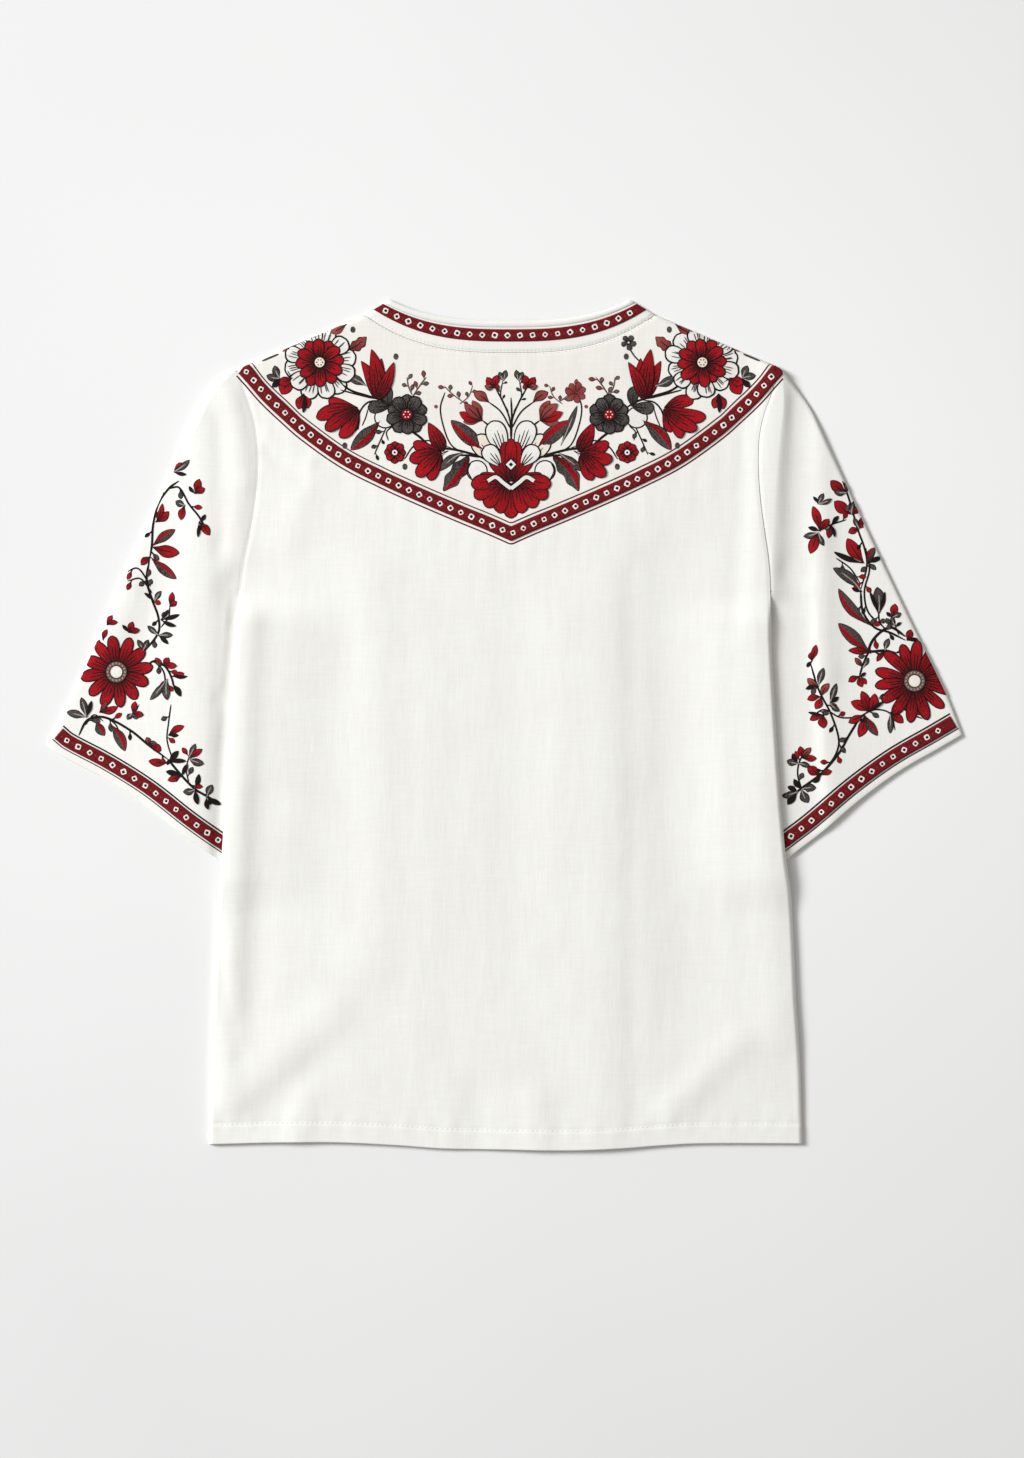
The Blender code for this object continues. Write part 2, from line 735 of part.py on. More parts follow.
def yoke_line(across, inset):
    """Height of a line that runs above the foot of the yoke's border, at a distance across."""
    step = 1.0
    rise = read_table(YOKE_FOOT, across + step) - read_table(YOKE_FOOT, max(0.0, across - step))
    run = min(across, step) + step
    return read_table(YOKE_FOOT, across) + inset * math.hypot(1.0, rise / run)


def make_yoke_tape(braid):
    """The braid that edges the yoke, from shoulder to shoulder by way of its point."""
    net = []
    insets = (YOKE_TAPE_INSET, YOKE_TAPE_INSET + YOKE_TAPE_WIDTH)
    for inset, end in zip(insets, YOKE_TAPE_ENDS):
        row = []
        for share in even_steps(-1.0, 1.0, YOKE_STEPS):
            x = YOKE_MIDDLE + share * end
            y = yoke_line(abs(share) * end, inset)
            row.append((x, y, body_top(x, y) + TRIM_GAP + TRIM_WALL))
        net.append(row)
    cloth_piece("yoke_tape", net, TRIM_WALL, braid)


for old in list(bpy.data.objects):
    bpy.data.objects.remove(old, do_unlink=True)

group = bpy.data.collections.new("v_neck_blouse")
bpy.context.scene.collection.children.link(group)
linen = fabric("white_linen", WHITE_LINEN, CLOTH_ROUGHNESS)
band_cloth = fabric("white_band", WHITE_BAND, CLOTH_ROUGHNESS)
red_braid = fabric("red_braid", RED_BRAID, BRAID_ROUGHNESS)

make_body(linen)
for sleeve_side in ("left", "right"):
    make_sleeve(sleeve_side, linen, red_braid)
make_neck(band_cloth, red_braid)
make_yoke_tape(red_braid)
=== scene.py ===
"""Looks of a v-neck blouse that lies flat on its front, back up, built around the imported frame.

Sizes are in millimetres in the frame of the part: +X to the right, +Y towards the neck, +Z up.
Meshes are scaled to metres as they are made.
"""

import math

import bpy
import numpy as np
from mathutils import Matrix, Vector


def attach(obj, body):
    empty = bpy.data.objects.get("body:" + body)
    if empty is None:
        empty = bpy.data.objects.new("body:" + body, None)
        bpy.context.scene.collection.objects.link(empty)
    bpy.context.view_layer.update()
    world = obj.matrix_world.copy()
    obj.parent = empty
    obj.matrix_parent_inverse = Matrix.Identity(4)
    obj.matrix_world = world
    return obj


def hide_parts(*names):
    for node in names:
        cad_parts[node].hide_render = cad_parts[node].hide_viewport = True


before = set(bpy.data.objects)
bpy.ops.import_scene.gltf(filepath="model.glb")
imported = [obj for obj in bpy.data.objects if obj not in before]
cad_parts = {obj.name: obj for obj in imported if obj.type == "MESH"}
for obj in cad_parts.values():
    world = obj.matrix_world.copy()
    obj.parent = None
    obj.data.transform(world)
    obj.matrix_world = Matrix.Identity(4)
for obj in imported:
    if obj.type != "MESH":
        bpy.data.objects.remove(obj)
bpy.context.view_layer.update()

MM = 0.001

# Cloth: real thickness of a layer in the shells, how far trims stand above the cloth, and the
# depth, reach, gap and allowance of a seam.
SHELL = 0.6
BAND_SHELL = 0.8
BRAID_SHELL = 0.4
TAPE_LIFT = 0.75
NECK_BRAID_LIFT = 0.5
LINE_LIFT = 0.22
SEAM_DEPTH = 0.32
SEAM_REACH = 2.0
SEAM_GAP = 0.12
ALLOWANCE = 5.0

# Depth and reach of the grooves along seams, hems and rows of stitches, and a band's width.
NECK_GROOVE = (0.5, 1.6)
HEM_GROOVE = (0.45, 1.2)
CUFF_GROOVE = (0.4, 1.2)
STITCH_GROOVE = (0.18, 0.5)
BAND_WIDTH = 25.0

# How far braid and thread stay inside the edge of the cloth, the width of a line of hatching, and
# the least area of a face of thread.
BRAID_MARGIN = 0.25
THREAD_MARGIN = 0.35
VEIN = 0.85
LEAST_FACE = 0.004

# Levels of the solids that the shells follow.
WALL = 1.1
BODY_ROLL = 4.0
SLEEVE_ROLL = 3.0
FOLD_HEIGHT = 1.35
LEAST_HOLLOW = -0.1
MOST_HOLLOW = 4.4
BODY_LEVEL = 1.9
FOLD_GAIN = 1.6

# The cloth's finer levels: heights, and the places and distances over which they come and go.
SHOULDER_DROP = 0.9
SHOULDER_DROP_FOOT = 215.0
SHOULDER_DROP_RUN = 90.0
HEM_DROP = 0.6
HEM_DROP_TOP = -250.0
HEM_DROP_RUN = 76.0
ARMPIT_DIPS = (1.7, 0.3)
ARMPIT_DIP_REACH = 27.0
CREASE_HEIGHT = 3.7
CREASE_FALL = 6.0
CREASE_STRIP = 30.0
CREASE_FOOT = 56.0
CREASE_RUN = 36.0
SIDE_TURN_RUN = 34.0
UNDERARM_TURN_RUN = 30.0
COVERED_ABOVE = 3.0
COVERED_RUN = 18.0
VALLEY_EDGE = 1.0
VALLEY_DEPTH = 2.3
VALLEY_RUN = 21.0
RIPPLE = 0.16
FINE_RIPPLE = 0.05
HEM_PUCKER = 0.15
BORDER_PUCKER = 0.09
NECK_PUCKER = 0.12

# How the edges turn down: the hem's roll and drop, the least distance across a sleeve at which
# its rolls are whole, the height where its lower face begins to turn, and its length.
HEM_ROLL = 1.2
HEM_TURN_DROP = 0.5
ROLL_ROOM = 12.0
UNDER_TURN = FOLD_HEIGHT * 0.3
SLEEVE_LENGTH = 300.0

# Neck: half widths, heights at the middle and the rise to each side, then how far the binding
# and the braid reach, as shares from the neckband's edge to its seam.
NECK_MIDDLE = 3.9
NECK_HALF = 93.6
NECK_HEIGHT = 315.1
NECK_RISE = 16.4
BAND_HALF = 113.1
BAND_HEIGHT = 290.2
BAND_RISE = 29.6
NECK_CURVE = 2.8
V_NECK_HEIGHT = 161.5
V_BAND_HEIGHT = 115.0
BINDING_DEPTH = 0.22
TAPE_DEPTHS = (0.275, 0.655)

# Shoulders, armpits and the stretch where each sleeve's hem lies under the body's side.
SHOULDER_HALF = 213.0
SHOULDER_HEIGHT = 277.3
ARMPIT_HALF = 206.7
ARMPIT_HEIGHT = 103.7
TUCK_TOP = 78.0
TUCK_FOOT = -116.0
TUCK_RELEASE = -150.0
TUCK_LIFT = 3.4
LIFT_FULL = 11.0
LIFT_NONE = 92.0
ARMHOLE_ROWS = 64

# Hems and trims.
HEM_DEPTH = 15.5
HEM_EXTRA = 0.35
CUFF_TAPE_FOOT = 7.5
CUFF_TAPE_TOP = 17.7
YOKE_MIDDLE = 4.7
YOKE_TAPE_INSETS = (2.0, 12.6)
YOKE_LINE_INSETS = (-0.3, 14.8)
YOKE_REACH = 213.5
YOKE_ENDS = (-209.0, 216.3)
YOKE_MARGIN = 0.3
YOKE_MARK_PITCH = 8.8
NECK_MARK_PITCH = 9.8
CUFF_MARK_PITCH = 10.1

# The body's outline: height, half width, and the middle's place across.
BODY_SIDES = (
    (-332, 231.6, 0.4),
    (-261, 229.7, 0.4),
    (-214, 227.4, -0.3),
    (-136, 223.5, -0.2),
    (-100, 219.5, -1),
    (-43, 215.6, -1.8),
    (19.5, 211.4, -1.5),
    (66, 208.6, -1),
    (103.7, 206.7, 0),
    (127, 204.4, 0.9),
    (152, 199.8, 2),
    (175.5, 196.4, 2.4),
    (199, 194.6, 2.6),
    (222, 195.2, 2.5),
    (240, 198.4, 2.6),
    (256, 204, 2.8),
    (268, 208, 2.5),
    (278, 211, 2),
)

# The hem's line: place across, and height.
HEM_LINE = (
    (-232, -326.8),
    (-175, -325.3),
    (-129, -325.3),
    (-82, -327.6),
    (-50, -329.9),
    (0, -330.9),
    (50, -331.5),
    (90, -329.9),
    (121, -327.6),
    (152, -326),
    (232, -326),
)

# The fold along the top of each sleeve, below the shoulder: place across, and height.
SLEEVE_FOLD = {
    "left": (
        (-215.5, 273.9),
        (-222.3, 267.5),
        (-229.5, 259),
        (-239.5, 239.5),
        (-251.2, 214.5),
        (-276.9, 158.3),
        (-308.1, 88.1),
        (-337.7, 21.8),
        (-356.5, -15.6),
    ),
    "right": (
        (218.2, 273.4),
        (223.6, 267),
        (231, 257.2),
        (239.5, 244.1),
        (253.5, 214.5),
        (276.9, 163.8),
        (312, 89.7),
        (343.2, 25.7),
        (356.5, -7.8),
    ),
}

# Each sleeve's hem, from the body outwards: place across, and height.
SLEEVE_HEM = {
    "left": (
        (-213.5, -111.5),
        (-226.2, -103),
        (-253.5, -83.5),
        (-284.7, -59.3),
        (-315.9, -39.8),
        (-347.1, -23.2),
        (-356.5, -15.6),
    ),
    "right": (
        (214, -109),
        (229.3, -97.5),
        (245.7, -85),
        (276.9, -58.5),
        (308.1, -35.9),
        (339.3, -17.9),
        (356.5, -7.8),
    ),
}

# How far each sleeve's underarm edge lies inside the body's edge: height, and depth.
UNDERARM = (
    (-120, 7),
    (-60, 7),
    (0, 7),
    (45, 5.5),
    (78, 3.4),
    (98, 1.2),
    (103.7, -0.12),
)

# The foot of the yoke's border: distance from the yoke's middle, and height.
YOKE_FOOT = (
    (0, 141),
    (20, 149.8),
    (39, 157.6),
    (70, 170.8),
    (101, 184.8),
    (133, 201.2),
    (164, 223),
    (180, 237),
    (195, 251.3),
    (207, 265),
    (217, 276),
)

# The crease at the right sleeve's cap: height, and place across.
CAP_CREASE = (
    (88, 206.5),
    (104, 206.7),
    (140, 208.5),
    (190, 211.5),
    (222, 214),
    (250, 217),
    (270, 216),
)

# Folds near the armholes, on body and sleeve alike: start, end, reach to each side, and height.
ARMHOLE_FOLDS = (
    (-212, 258, -203, 190, 9, 0.8),
    (-203, 190, -207, 132, 9, 0.5),
    (-224, 236, -221, 140, 9, -0.8),
    (231, 250, 228, 120, 12, -1.9),
)

# Folds of the back panel, in the same columns: the solid's own, then finer ones.
BODY_FOLDS = (
    (-200, 84, -216, -292, 11, 1),
    (-184, 120, -186, -60, 15, -0.3),
    (-186, -60, -196, -222, 15, -0.7),
    (-103, 110, -103, -180, 24, 0.9),
    (74, 90, 76, -320, 30, 0.8),
    (131, 129, 134, -60, 25, -1.2),
    (134, -60, 146, -214, 25, -1.2),
    (199, 70, 213, -240, 17, 0.9),
    (-136, -226, -206, -288, 17, 1),
    (-142, -256, -186, -300, 15, -0.5),
    (-156, -290, -163, -326, 12, 0.7),
    (-20, -290, -22, -330, 14, -0.7),
    (24, -296, 26, -330, 14, 0.7),
    (183, -246, 129, -300, 13, 0.9),
    (-150, 196, -168, 144, 13, 0.5),
)
FINE_BODY_FOLDS = (
    (-186, 224, -152, 206, 5, 0.35),
    (-184, 212, -158, 190, 5, -0.3),
    (-120, 60, -112, -150, 16, -0.3),
    (-60, 90, -64, -240, 18, 0.3),
    (8, 110, 4, -200, 16, -0.3),
    (44, 80, 40, -160, 14, 0.25),
    (98, 120, 100, -300, 9, -0.3),
    (164, 110, 176, -190, 9, 0.1),
    (-226, -160, -208, -260, 7, -0.4),
)

# Folds of the sleeves below their caps, in the same columns.
SLEEVE_FOLDS = (
    (-223, 140, -222, 20, 8, -0.4),
    (-222, 20, -227, -80, 8, -0.4),
    (-236, 235, -238, 120, 13, 1),
    (-238, 120, -242, -10, 13, 1),
    (-242, -10, -246, -80, 13, 0.7),
    (-290, 112, -306, 66, 13, 0.8),
    (-270, 104, -282, 60, 13, -0.7),
    (228, 120, 231, 20, 11, -1.1),
    (231, 20, 236, -90, 11, -1),
    (246, 232, 247, 150, 11, 0.5),
    (247, 150, 248, 40, 12, 0.6),
    (248, 40, 253, -60, 13, 0.5),
    (266, 150, 276, 40, 13, -0.7),
    (304, 84, 322, 30, 14, 0.6),
)

# Steps with the distance from the body, left sleeve first: height, start and run. The first slope
# the whole face of a sleeve, and the second let it rise where the body no longer holds it down.
SLEEVE_SLOPES = (((1.6, 0, 18), (-3, 14, 110)), ((-2.6, 10, 98),))
SLEEVE_RELEASES = (((1, 1, 9),), ((1, 20, 17),))

# Which way each side lies from the middle.
SIGNS = {"left": -1, "right": 1}

# Colours of thread. A leaf of the last is charcoal with one red half.
RED = "red"
RUST = "rust"
MAROON = "maroon"
DARK = "dark"
COAL = "charcoal"
BROWN = "brown"
GREY = "grey"
WHITE = "white"
CREAM = "cream"
STITCH = "stitch"
HALF = "half"


def smooth_step(value):
    """0 up to 0, 1 from 1 on, with a soft rise between."""
    value = np.clip(value, 0, 1)
    return value * value * (3 - 2 * value)


def soft_steps(away, rows):
    """The sum of some soft steps, each given as its height, its start and its run."""
    return sum(height * smooth_step((away - start) / run) for height, start, run in rows)


def read_table(table, place, column=1):
    """Values of a column at some places, on a smooth line through a table in rising order."""
    rows = np.array(table, float)
    keys, values = rows[:, 0], rows[:, column]
    before = np.maximum(np.arange(len(keys)) - 1, 0)
    after = np.minimum(np.arange(len(keys)) + 1, len(keys) - 1)
    slopes = (values[after] - values[before]) / (keys[after] - keys[before])
    place = np.clip(place, keys[0], keys[-1])
    i = np.clip(np.searchsorted(keys, place, side="right") - 1, 0, len(keys) - 2)
    span = keys[i + 1] - keys[i]
    t = (place - keys[i]) / span
    rise = t * t * (3 - 2 * t)
    bend = slopes[i] * t * (1 - t) ** 2 - slopes[i + 1] * t * t * (1 - t)
    return values[i] * (1 - rise) + values[i + 1] * rise + span * bend


def smooth_path(points):
    """A function that gives points at shares of the length of a smooth path."""
    points = np.array(points, float)
    steps = np.linalg.norm(np.diff(points, axis=0), axis=1)
    places = np.concatenate([[0], np.cumsum(steps)])
    table = np.column_stack([places / places[-1], points])

    def at(share):
        return np.stack([read_table(table, share, 1), read_table(table, share, 2)], axis=-1)

    return at


def half_width(y):
    return read_table(BODY_SIDES, y, 1)


def middle(y):
    return read_table(BODY_SIDES, y, 2)


def hem_line(x):
    return read_table(HEM_LINE, x)


def edge_distance(x, y):
    """Distance into the body from its side edge."""
    return half_width(y) - np.abs(x - middle(y))


def neck_line(x, height, rise, curve):
    """A line along the neckband's seam, which goes on as the shoulder beyond it."""
    away = np.abs(x - NECK_MIDDLE)
    inside = height + rise * (np.minimum(away, BAND_HALF) / BAND_HALF) ** curve
    share = np.clip((away - BAND_HALF) / (SHOULDER_HALF - BAND_HALF), 0, 1)
    return inside + (SHOULDER_HEIGHT - height - rise) * share


def back_top(x):
    """Height of the back panel's upper edge at the neckband's seam and along the shoulders."""
    return neck_line(x, BAND_HEIGHT, BAND_RISE, NECK_CURVE)


def front_top(x):
    """Height of the front panel's upper edge, which runs down into the V."""
    return neck_line(x, V_BAND_HEIGHT, BAND_HEIGHT + BAND_RISE - V_BAND_HEIGHT, 1)


def lift(x, y):
    """How far the body stands off the surface, where a sleeve lies under its side."""
    along = smooth_step((ARMPIT_HEIGHT - y) / (ARMPIT_HEIGHT - TUCK_TOP))
    along = along * smooth_step((y - TUCK_RELEASE) / (TUCK_FOOT - TUCK_RELEASE))
    inward = smooth_step((edge_distance(x, y) - LIFT_FULL) / (LIFT_NONE - LIFT_FULL))
    return TUCK_LIFT * along * (1 - inward)


def fold_height(x, y, folds):
    """The sum of some folds, each a rounded ridge or trough along its line."""
    total = np.zeros(np.broadcast(x, y).shape)
    for x0, y0, x1, y1, reach, height in folds:
        run_x, run_y = x1 - x0, y1 - y0
        share = ((x - x0) * run_x + (y - y0) * run_y) / (run_x**2 + run_y**2)
        share = np.clip(share, 0, 1)
        away = np.hypot(x - x0 - share * run_x, y - y0 - share * run_y)
        total += height * np.exp(-((away / reach) ** 2))
    return total


def hollow(level):
    """A hollow between two layers, held between its least and its most."""
    centre = (LEAST_HOLLOW + MOST_HOLLOW) / 2
    room = (MOST_HOLLOW - LEAST_HOLLOW) / 2
    return centre + room * np.tanh((level - centre) / room)


def shared_level(x, y):
    """The part of the hollow's height that is the same on both sides of an armhole seam."""
    level = BODY_LEVEL + fold_height(x, y, ARMHOLE_FOLDS)
    level = level - SHOULDER_DROP * smooth_step((y - SHOULDER_DROP_FOOT) / SHOULDER_DROP_RUN)
    away = np.hypot(np.abs(x) - ARMPIT_HALF, y - ARMPIT_HEIGHT)
    level = level - np.where(x < 0, *ARMPIT_DIPS) * (1 - smooth_step(away / ARMPIT_DIP_REACH))
    past = x - read_table(CAP_CREASE, y)
    strip = 1 - smooth_step(-past / CREASE_STRIP)
    cap = np.where(past > 0, np.exp(-np.maximum(past, 0) / CREASE_FALL), strip)
    return level + CREASE_HEIGHT * cap * smooth_step((y - CREASE_FOOT) / CREASE_RUN)


def ripple(x, y):
    """Slight unevenness of cloth that has been pressed and laid down."""
    wave = np.sin(x / 31 + 0.8 * np.sin(y / 47)) * np.sin(y / 58 + 0.6 * np.sin(x / 39))
    fine = np.sin(x / 11 + y / 41) * np.sin(y / 17 - x / 53)
    return RIPPLE * wave + FINE_RIPPLE * fine


def puckers(x, y):
    """Small upright wrinkles along the hem's stitching, under the border and under the neckband."""
    across = np.abs(x - YOKE_MIDDLE)
    at_hem = np.exp(-(((y - hem_line(x) - HEM_DEPTH) / 7) ** 2))
    at_border = np.exp(-(((y - yoke_height(across, 0) + 15) / 17) ** 2))
    at_neck = np.exp(-(((y - back_top(x) + 9) / 9) ** 2)) * (1 - smooth_step(across / 90))
    wave = np.sin(x / 2.7 + 1.4 * np.sin(x / 29) + 0.5 * np.sin(y / 9))
    return wave * (HEM_PUCKER * at_hem + BORDER_PUCKER * at_border + NECK_PUCKER * at_neck)


def body_top(x, y):
    """Height of the back panel's outer face, before its edges turn down."""
    folds = fold_height(x, y, BODY_FOLDS + FINE_BODY_FOLDS)
    level = shared_level(x, y) + FOLD_GAIN * folds + ripple(x, y) + puckers(x, y)
    level = level - HEM_DROP * smooth_step((HEM_DROP_TOP - y) / HEM_DROP_RUN)
    hem = HEM_EXTRA * (1 - smooth_step(y - hem_line(x) - HEM_DEPTH))
    return 2 * WALL + lift(x, y) + hollow(level) + hem


def sleeve_top(x, y):
    """Height of a sleeve's upper face, before its edges turn down."""
    level = shared_level(x, y) + FOLD_GAIN * fold_height(x, y, SLEEVE_FOLDS) + ripple(x, y)
    away = -edge_distance(x, y)
    level = level + np.where(x < 0, *[soft_steps(away, rows) for rows in SLEEVE_SLOPES])
    beside = np.where(x < 0, 0, VALLEY_EDGE - VALLEY_DEPTH * smooth_step(away / VALLEY_RUN))
    covered = 1 - np.where(x < 0, *[soft_steps(away, rows) for rows in SLEEVE_RELEASES])
    covered = covered * smooth_step((ARMPIT_HEIGHT + COVERED_ABOVE - y) / COVERED_RUN)
    return 2 * WALL + hollow(level + (beside - level) * covered)


def turned(distance, roll):
    """The share of its height that a rounded edge has reached at a distance in from it."""
    return np.sqrt(np.clip(1 - np.clip(1 - distance / roll, 0, None) ** 2, 0, None))


def groove(distance, depth, reach):
    """How far the cloth is pulled down by a seam at a distance."""
    return depth * np.exp(-((distance / reach) ** 2))


def back_height(x, y):
    """The back panel's outer face, with its sides and shoulders turned down and its seams drawn in."""
    least = WALL + lift(x, y)
    at_side = smooth_step((ARMPIT_HEIGHT - 2 - y) / SIDE_TURN_RUN)
    side = 1 - at_side * (1 - turned(edge_distance(x, y), BODY_ROLL))
    from_top = back_top(x) - y
    at_shoulder = smooth_step((np.abs(x - NECK_MIDDLE) - BAND_HALF + 8) / 6)
    shoulder = 1 - at_shoulder * (1 - turned(from_top, BODY_ROLL))
    seams = (1 - at_side) * groove(edge_distance(x, y), SEAM_DEPTH, SEAM_REACH)
    seams = seams + (1 - at_shoulder) * groove(from_top, *NECK_GROOVE)
    seams = seams + groove(y - hem_line(x) - HEM_DEPTH, *HEM_GROOVE)
    top = body_top(x, y) - seams
    foot = turned(y - hem_line(x), HEM_ROLL)
    return least + (top - least) * side * shoulder - HEM_TURN_DROP * (1 - foot)


def front_height(x, y):
    return WALL + lift(x, y)


def stretches(start, *parts):
    """Places from a start through stretches, each given as its end and its count of steps."""
    places = [start]
    for end, count in parts:
        places += list(np.linspace(places[-1], end, count + 1)[1:])
    return np.array(places)


def both_sides(half):
    """Places from 0 to 1 made into places from -1 to 1."""
    return np.concatenate([-half[:0:-1], half])


def grid_faces(rows, columns):
    first = (np.arange(rows - 1)[:, None] * columns + np.arange(columns - 1)[None, :]).ravel()
    return np.column_stack([first, first + 1, first + columns + 1, first + columns])


def add_mesh(name, points, faces, material, wall=0, tones=None):
    """A piece that rides with the blouse, from points in millimetres."""
    mesh = bpy.data.meshes.new(name)
    mesh.from_pydata((np.asarray(points, float) * MM).tolist(), [], np.asarray(faces).tolist())
    mesh.materials.append(material)
    if tones is not None:
        attribute = mesh.attributes.new("tone", "FLOAT", "POINT")
        attribute.data.foreach_set("value", np.asarray(tones, np.float32))
    mesh.shade_smooth()
    piece = bpy.data.objects.new(name, mesh)
    bpy.context.scene.collection.objects.link(piece)
    if wall:
        solid = piece.modifiers.new("wall", "SOLIDIFY")
        solid.thickness = wall * MM
        solid.offset = -1
    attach(piece, "root")
    return piece


def add_grid(name, net, material, wall=0, tones=None):
    """A piece from a net of points, rows by columns by 3, its outer face upwards."""
    rows, columns = net.shape[:2]
    return add_mesh(name, net.reshape(-1, 3), grid_faces(rows, columns), material, wall, tones)


def with_height(plan, height):
    return np.concatenate([plan, height[..., None]], axis=-1)


def laid(plan, height_at, lift_off=0):
    """Plan points at the height of a face, or a little above it."""
    return with_height(plan, height_at(plan[..., 0], plan[..., 1]) + lift_off)


def body_plan(columns, rows, top_line):
    """Plan points of a body panel, for shares of its width and of its length.

    The first guess of each height is corrected until it agrees with the hem and the upper edge.
    """
    width_share, length_share = np.meshgrid(columns, rows)
    y = length_share * 600 - 320
    for _ in range(12):
        centre = NECK_MIDDLE + (middle(y) - NECK_MIDDLE) * np.abs(width_share)
        x = centre + width_share * half_width(y)
        low, high = hem_line(x), top_line(x)
        y = low + length_share * (high - low)
    return np.stack([x, y], axis=-1)


def sleeve_inner_x(sign, y, gap):
    """Place across of a sleeve's edge beside the body: its armhole, and its underarm edge below."""
    out = np.where(y > ARMPIT_HEIGHT, gap, -read_table(UNDERARM, y))
    return middle(y) + sign * (half_width(y) + out)


def sleeve_patch(side, gap):
    """A function that gives a sleeve's plan points: across from the body to the fold, and along."""
    hem = smooth_path(SLEEVE_HEM[side])
    hem_height = SLEEVE_HEM[side][0][1]

    def inner(along):
        height = SHOULDER_HEIGHT + (hem_height - SHOULDER_HEIGHT) * along
        return np.stack([sleeve_inner_x(SIGNS[side], height, gap), height], axis=-1)

    fold = smooth_path((tuple(inner(np.array(0))),) + SLEEVE_FOLD[side])
    foot, tip = inner(np.array(1)), hem(np.array(1))

    def place(across, along):
        share, length = across[..., None], along[..., None]
        point = inner(along) * (1 - share) + fold(along) * share
        return point + (hem(across) - foot * (1 - share) - tip * share) * length

    return place


def sleeve_net(side):
    """Rings of a sleeve's outer face, over the top and back underneath."""
    place = sleeve_patch(side, SEAM_GAP)
    hem_height = SLEEVE_HEM[side][0][1]
    armpit = (SHOULDER_HEIGHT - ARMPIT_HEIGHT) / (SHOULDER_HEIGHT - hem_height)
    along = stretches(0.004, (armpit, ARMHOLE_ROWS), (0.93, 70), (1, 20))
    insets = SLEEVE_ROLL * (1 - np.cos(np.linspace(0, math.pi / 2, 9)))
    upper = [(0, inset) for inset in insets[:-1]]
    upper += [(share, insets[-1]) for share in np.linspace(0, 1, 56)]
    upper += [(1, inset) for inset in insets[-2::-1]]
    lower = [(1, UNDER_TURN)]
    lower += [(share, FOLD_HEIGHT) for share in np.linspace(1, 0, 14)]
    lower += [(0, UNDER_TURN), (0, 0)]
    columns = np.array(upper + lower)
    share, row = np.meshgrid(columns[:, 0], along)
    inset = np.broadcast_to(columns[:, 1], share.shape)
    inner, fold = place(np.zeros_like(row), row), place(np.ones_like(row), row)
    width = np.linalg.norm(fold - inner, axis=-1)
    fitted = inset * np.minimum(1, width / ROLL_ROOM)
    plan = place(share + fitted * (1 - 2 * share) / width, row)
    x, y = plan[..., 0], plan[..., 1]
    above = np.arange(len(columns)) < len(upper)
    seam = groove(edge_distance(x, y), SEAM_DEPTH, SEAM_REACH) * (y > ARMPIT_HEIGHT - 4)
    top = sleeve_top(x, y) - seam
    top = top - groove((row - 1) * SLEEVE_LENGTH, *CUFF_GROOVE)
    is_open = (share == 0) & (np.arange(len(along))[:, None] < ARMHOLE_ROWS)
    roll = np.where(above, SLEEVE_ROLL, FOLD_HEIGHT)
    beside = (columns[:, 0] < 0.5) & above
    closing = np.where(beside, smooth_step((ARMPIT_HEIGHT - y) / UNDERARM_TURN_RUN), 1)
    round_share = np.where(is_open, 1, 1 - closing * (1 - turned(inset, roll)))
    z = FOLD_HEIGHT + (np.where(above, top, 0) - FOLD_HEIGHT) * round_share
    return with_height(plan, z)


def make_sleeve(side, material):
    """A sleeve as a flattened tube with its armhole open towards the body."""
    net = sleeve_net(side)
    rows, columns = net.shape[:2]
    index = np.arange(rows * columns)
    last = index[ARMHOLE_ROWS * columns :][columns - 1 :: columns]
    index[last] = last - columns + 1
    faces = index[grid_faces(rows, columns)]
    if side == "right":
        faces = faces[:, ::-1]
    return add_mesh("sleeve_" + side + "_cloth", net.reshape(-1, 3), faces, material, SHELL)


def make_allowance(side):
    """The armhole's seam allowance, a narrow strip under the join of body and sleeve."""
    along, across = np.linspace(ARMPIT_HEIGHT + 1, 272, 60), np.linspace(-ALLOWANCE, ALLOWANCE, 7)
    y, away = np.meshgrid(along, across)
    x = middle(y) + SIGNS[side] * (half_width(y) + SIGNS[side] * away)
    z = body_top(x, y) - SEAM_DEPTH - SHELL - SEAM_GAP
    net = with_height(np.stack([x, y], axis=-1), z).transpose(1, 0, 2)
    return add_grid("armhole_allowance_" + side, net, linen, 0.3)


def band_plan(depths, shares):
    """Plan points of a strip along the back neck: depth 0 at its edge and 1 at its seam."""
    share, depth = np.meshgrid(shares, depths)
    rise = np.abs(share) ** NECK_CURVE
    edge = np.stack([NECK_MIDDLE + NECK_HALF * share, NECK_HEIGHT + NECK_RISE * rise], axis=-1)
    seam = np.stack([NECK_MIDDLE + BAND_HALF * share, BAND_HEIGHT + BAND_RISE * rise], axis=-1)
    return edge * (1 - depth[..., None]) + seam * depth[..., None], share, depth


def band_height(plan, share):
    end = turned((1 - np.abs(share)) * BAND_HALF, BODY_ROLL)
    return WALL + 0.2 + (body_top(plan[..., 0], plan[..., 1]) - WALL - 0.2) * end


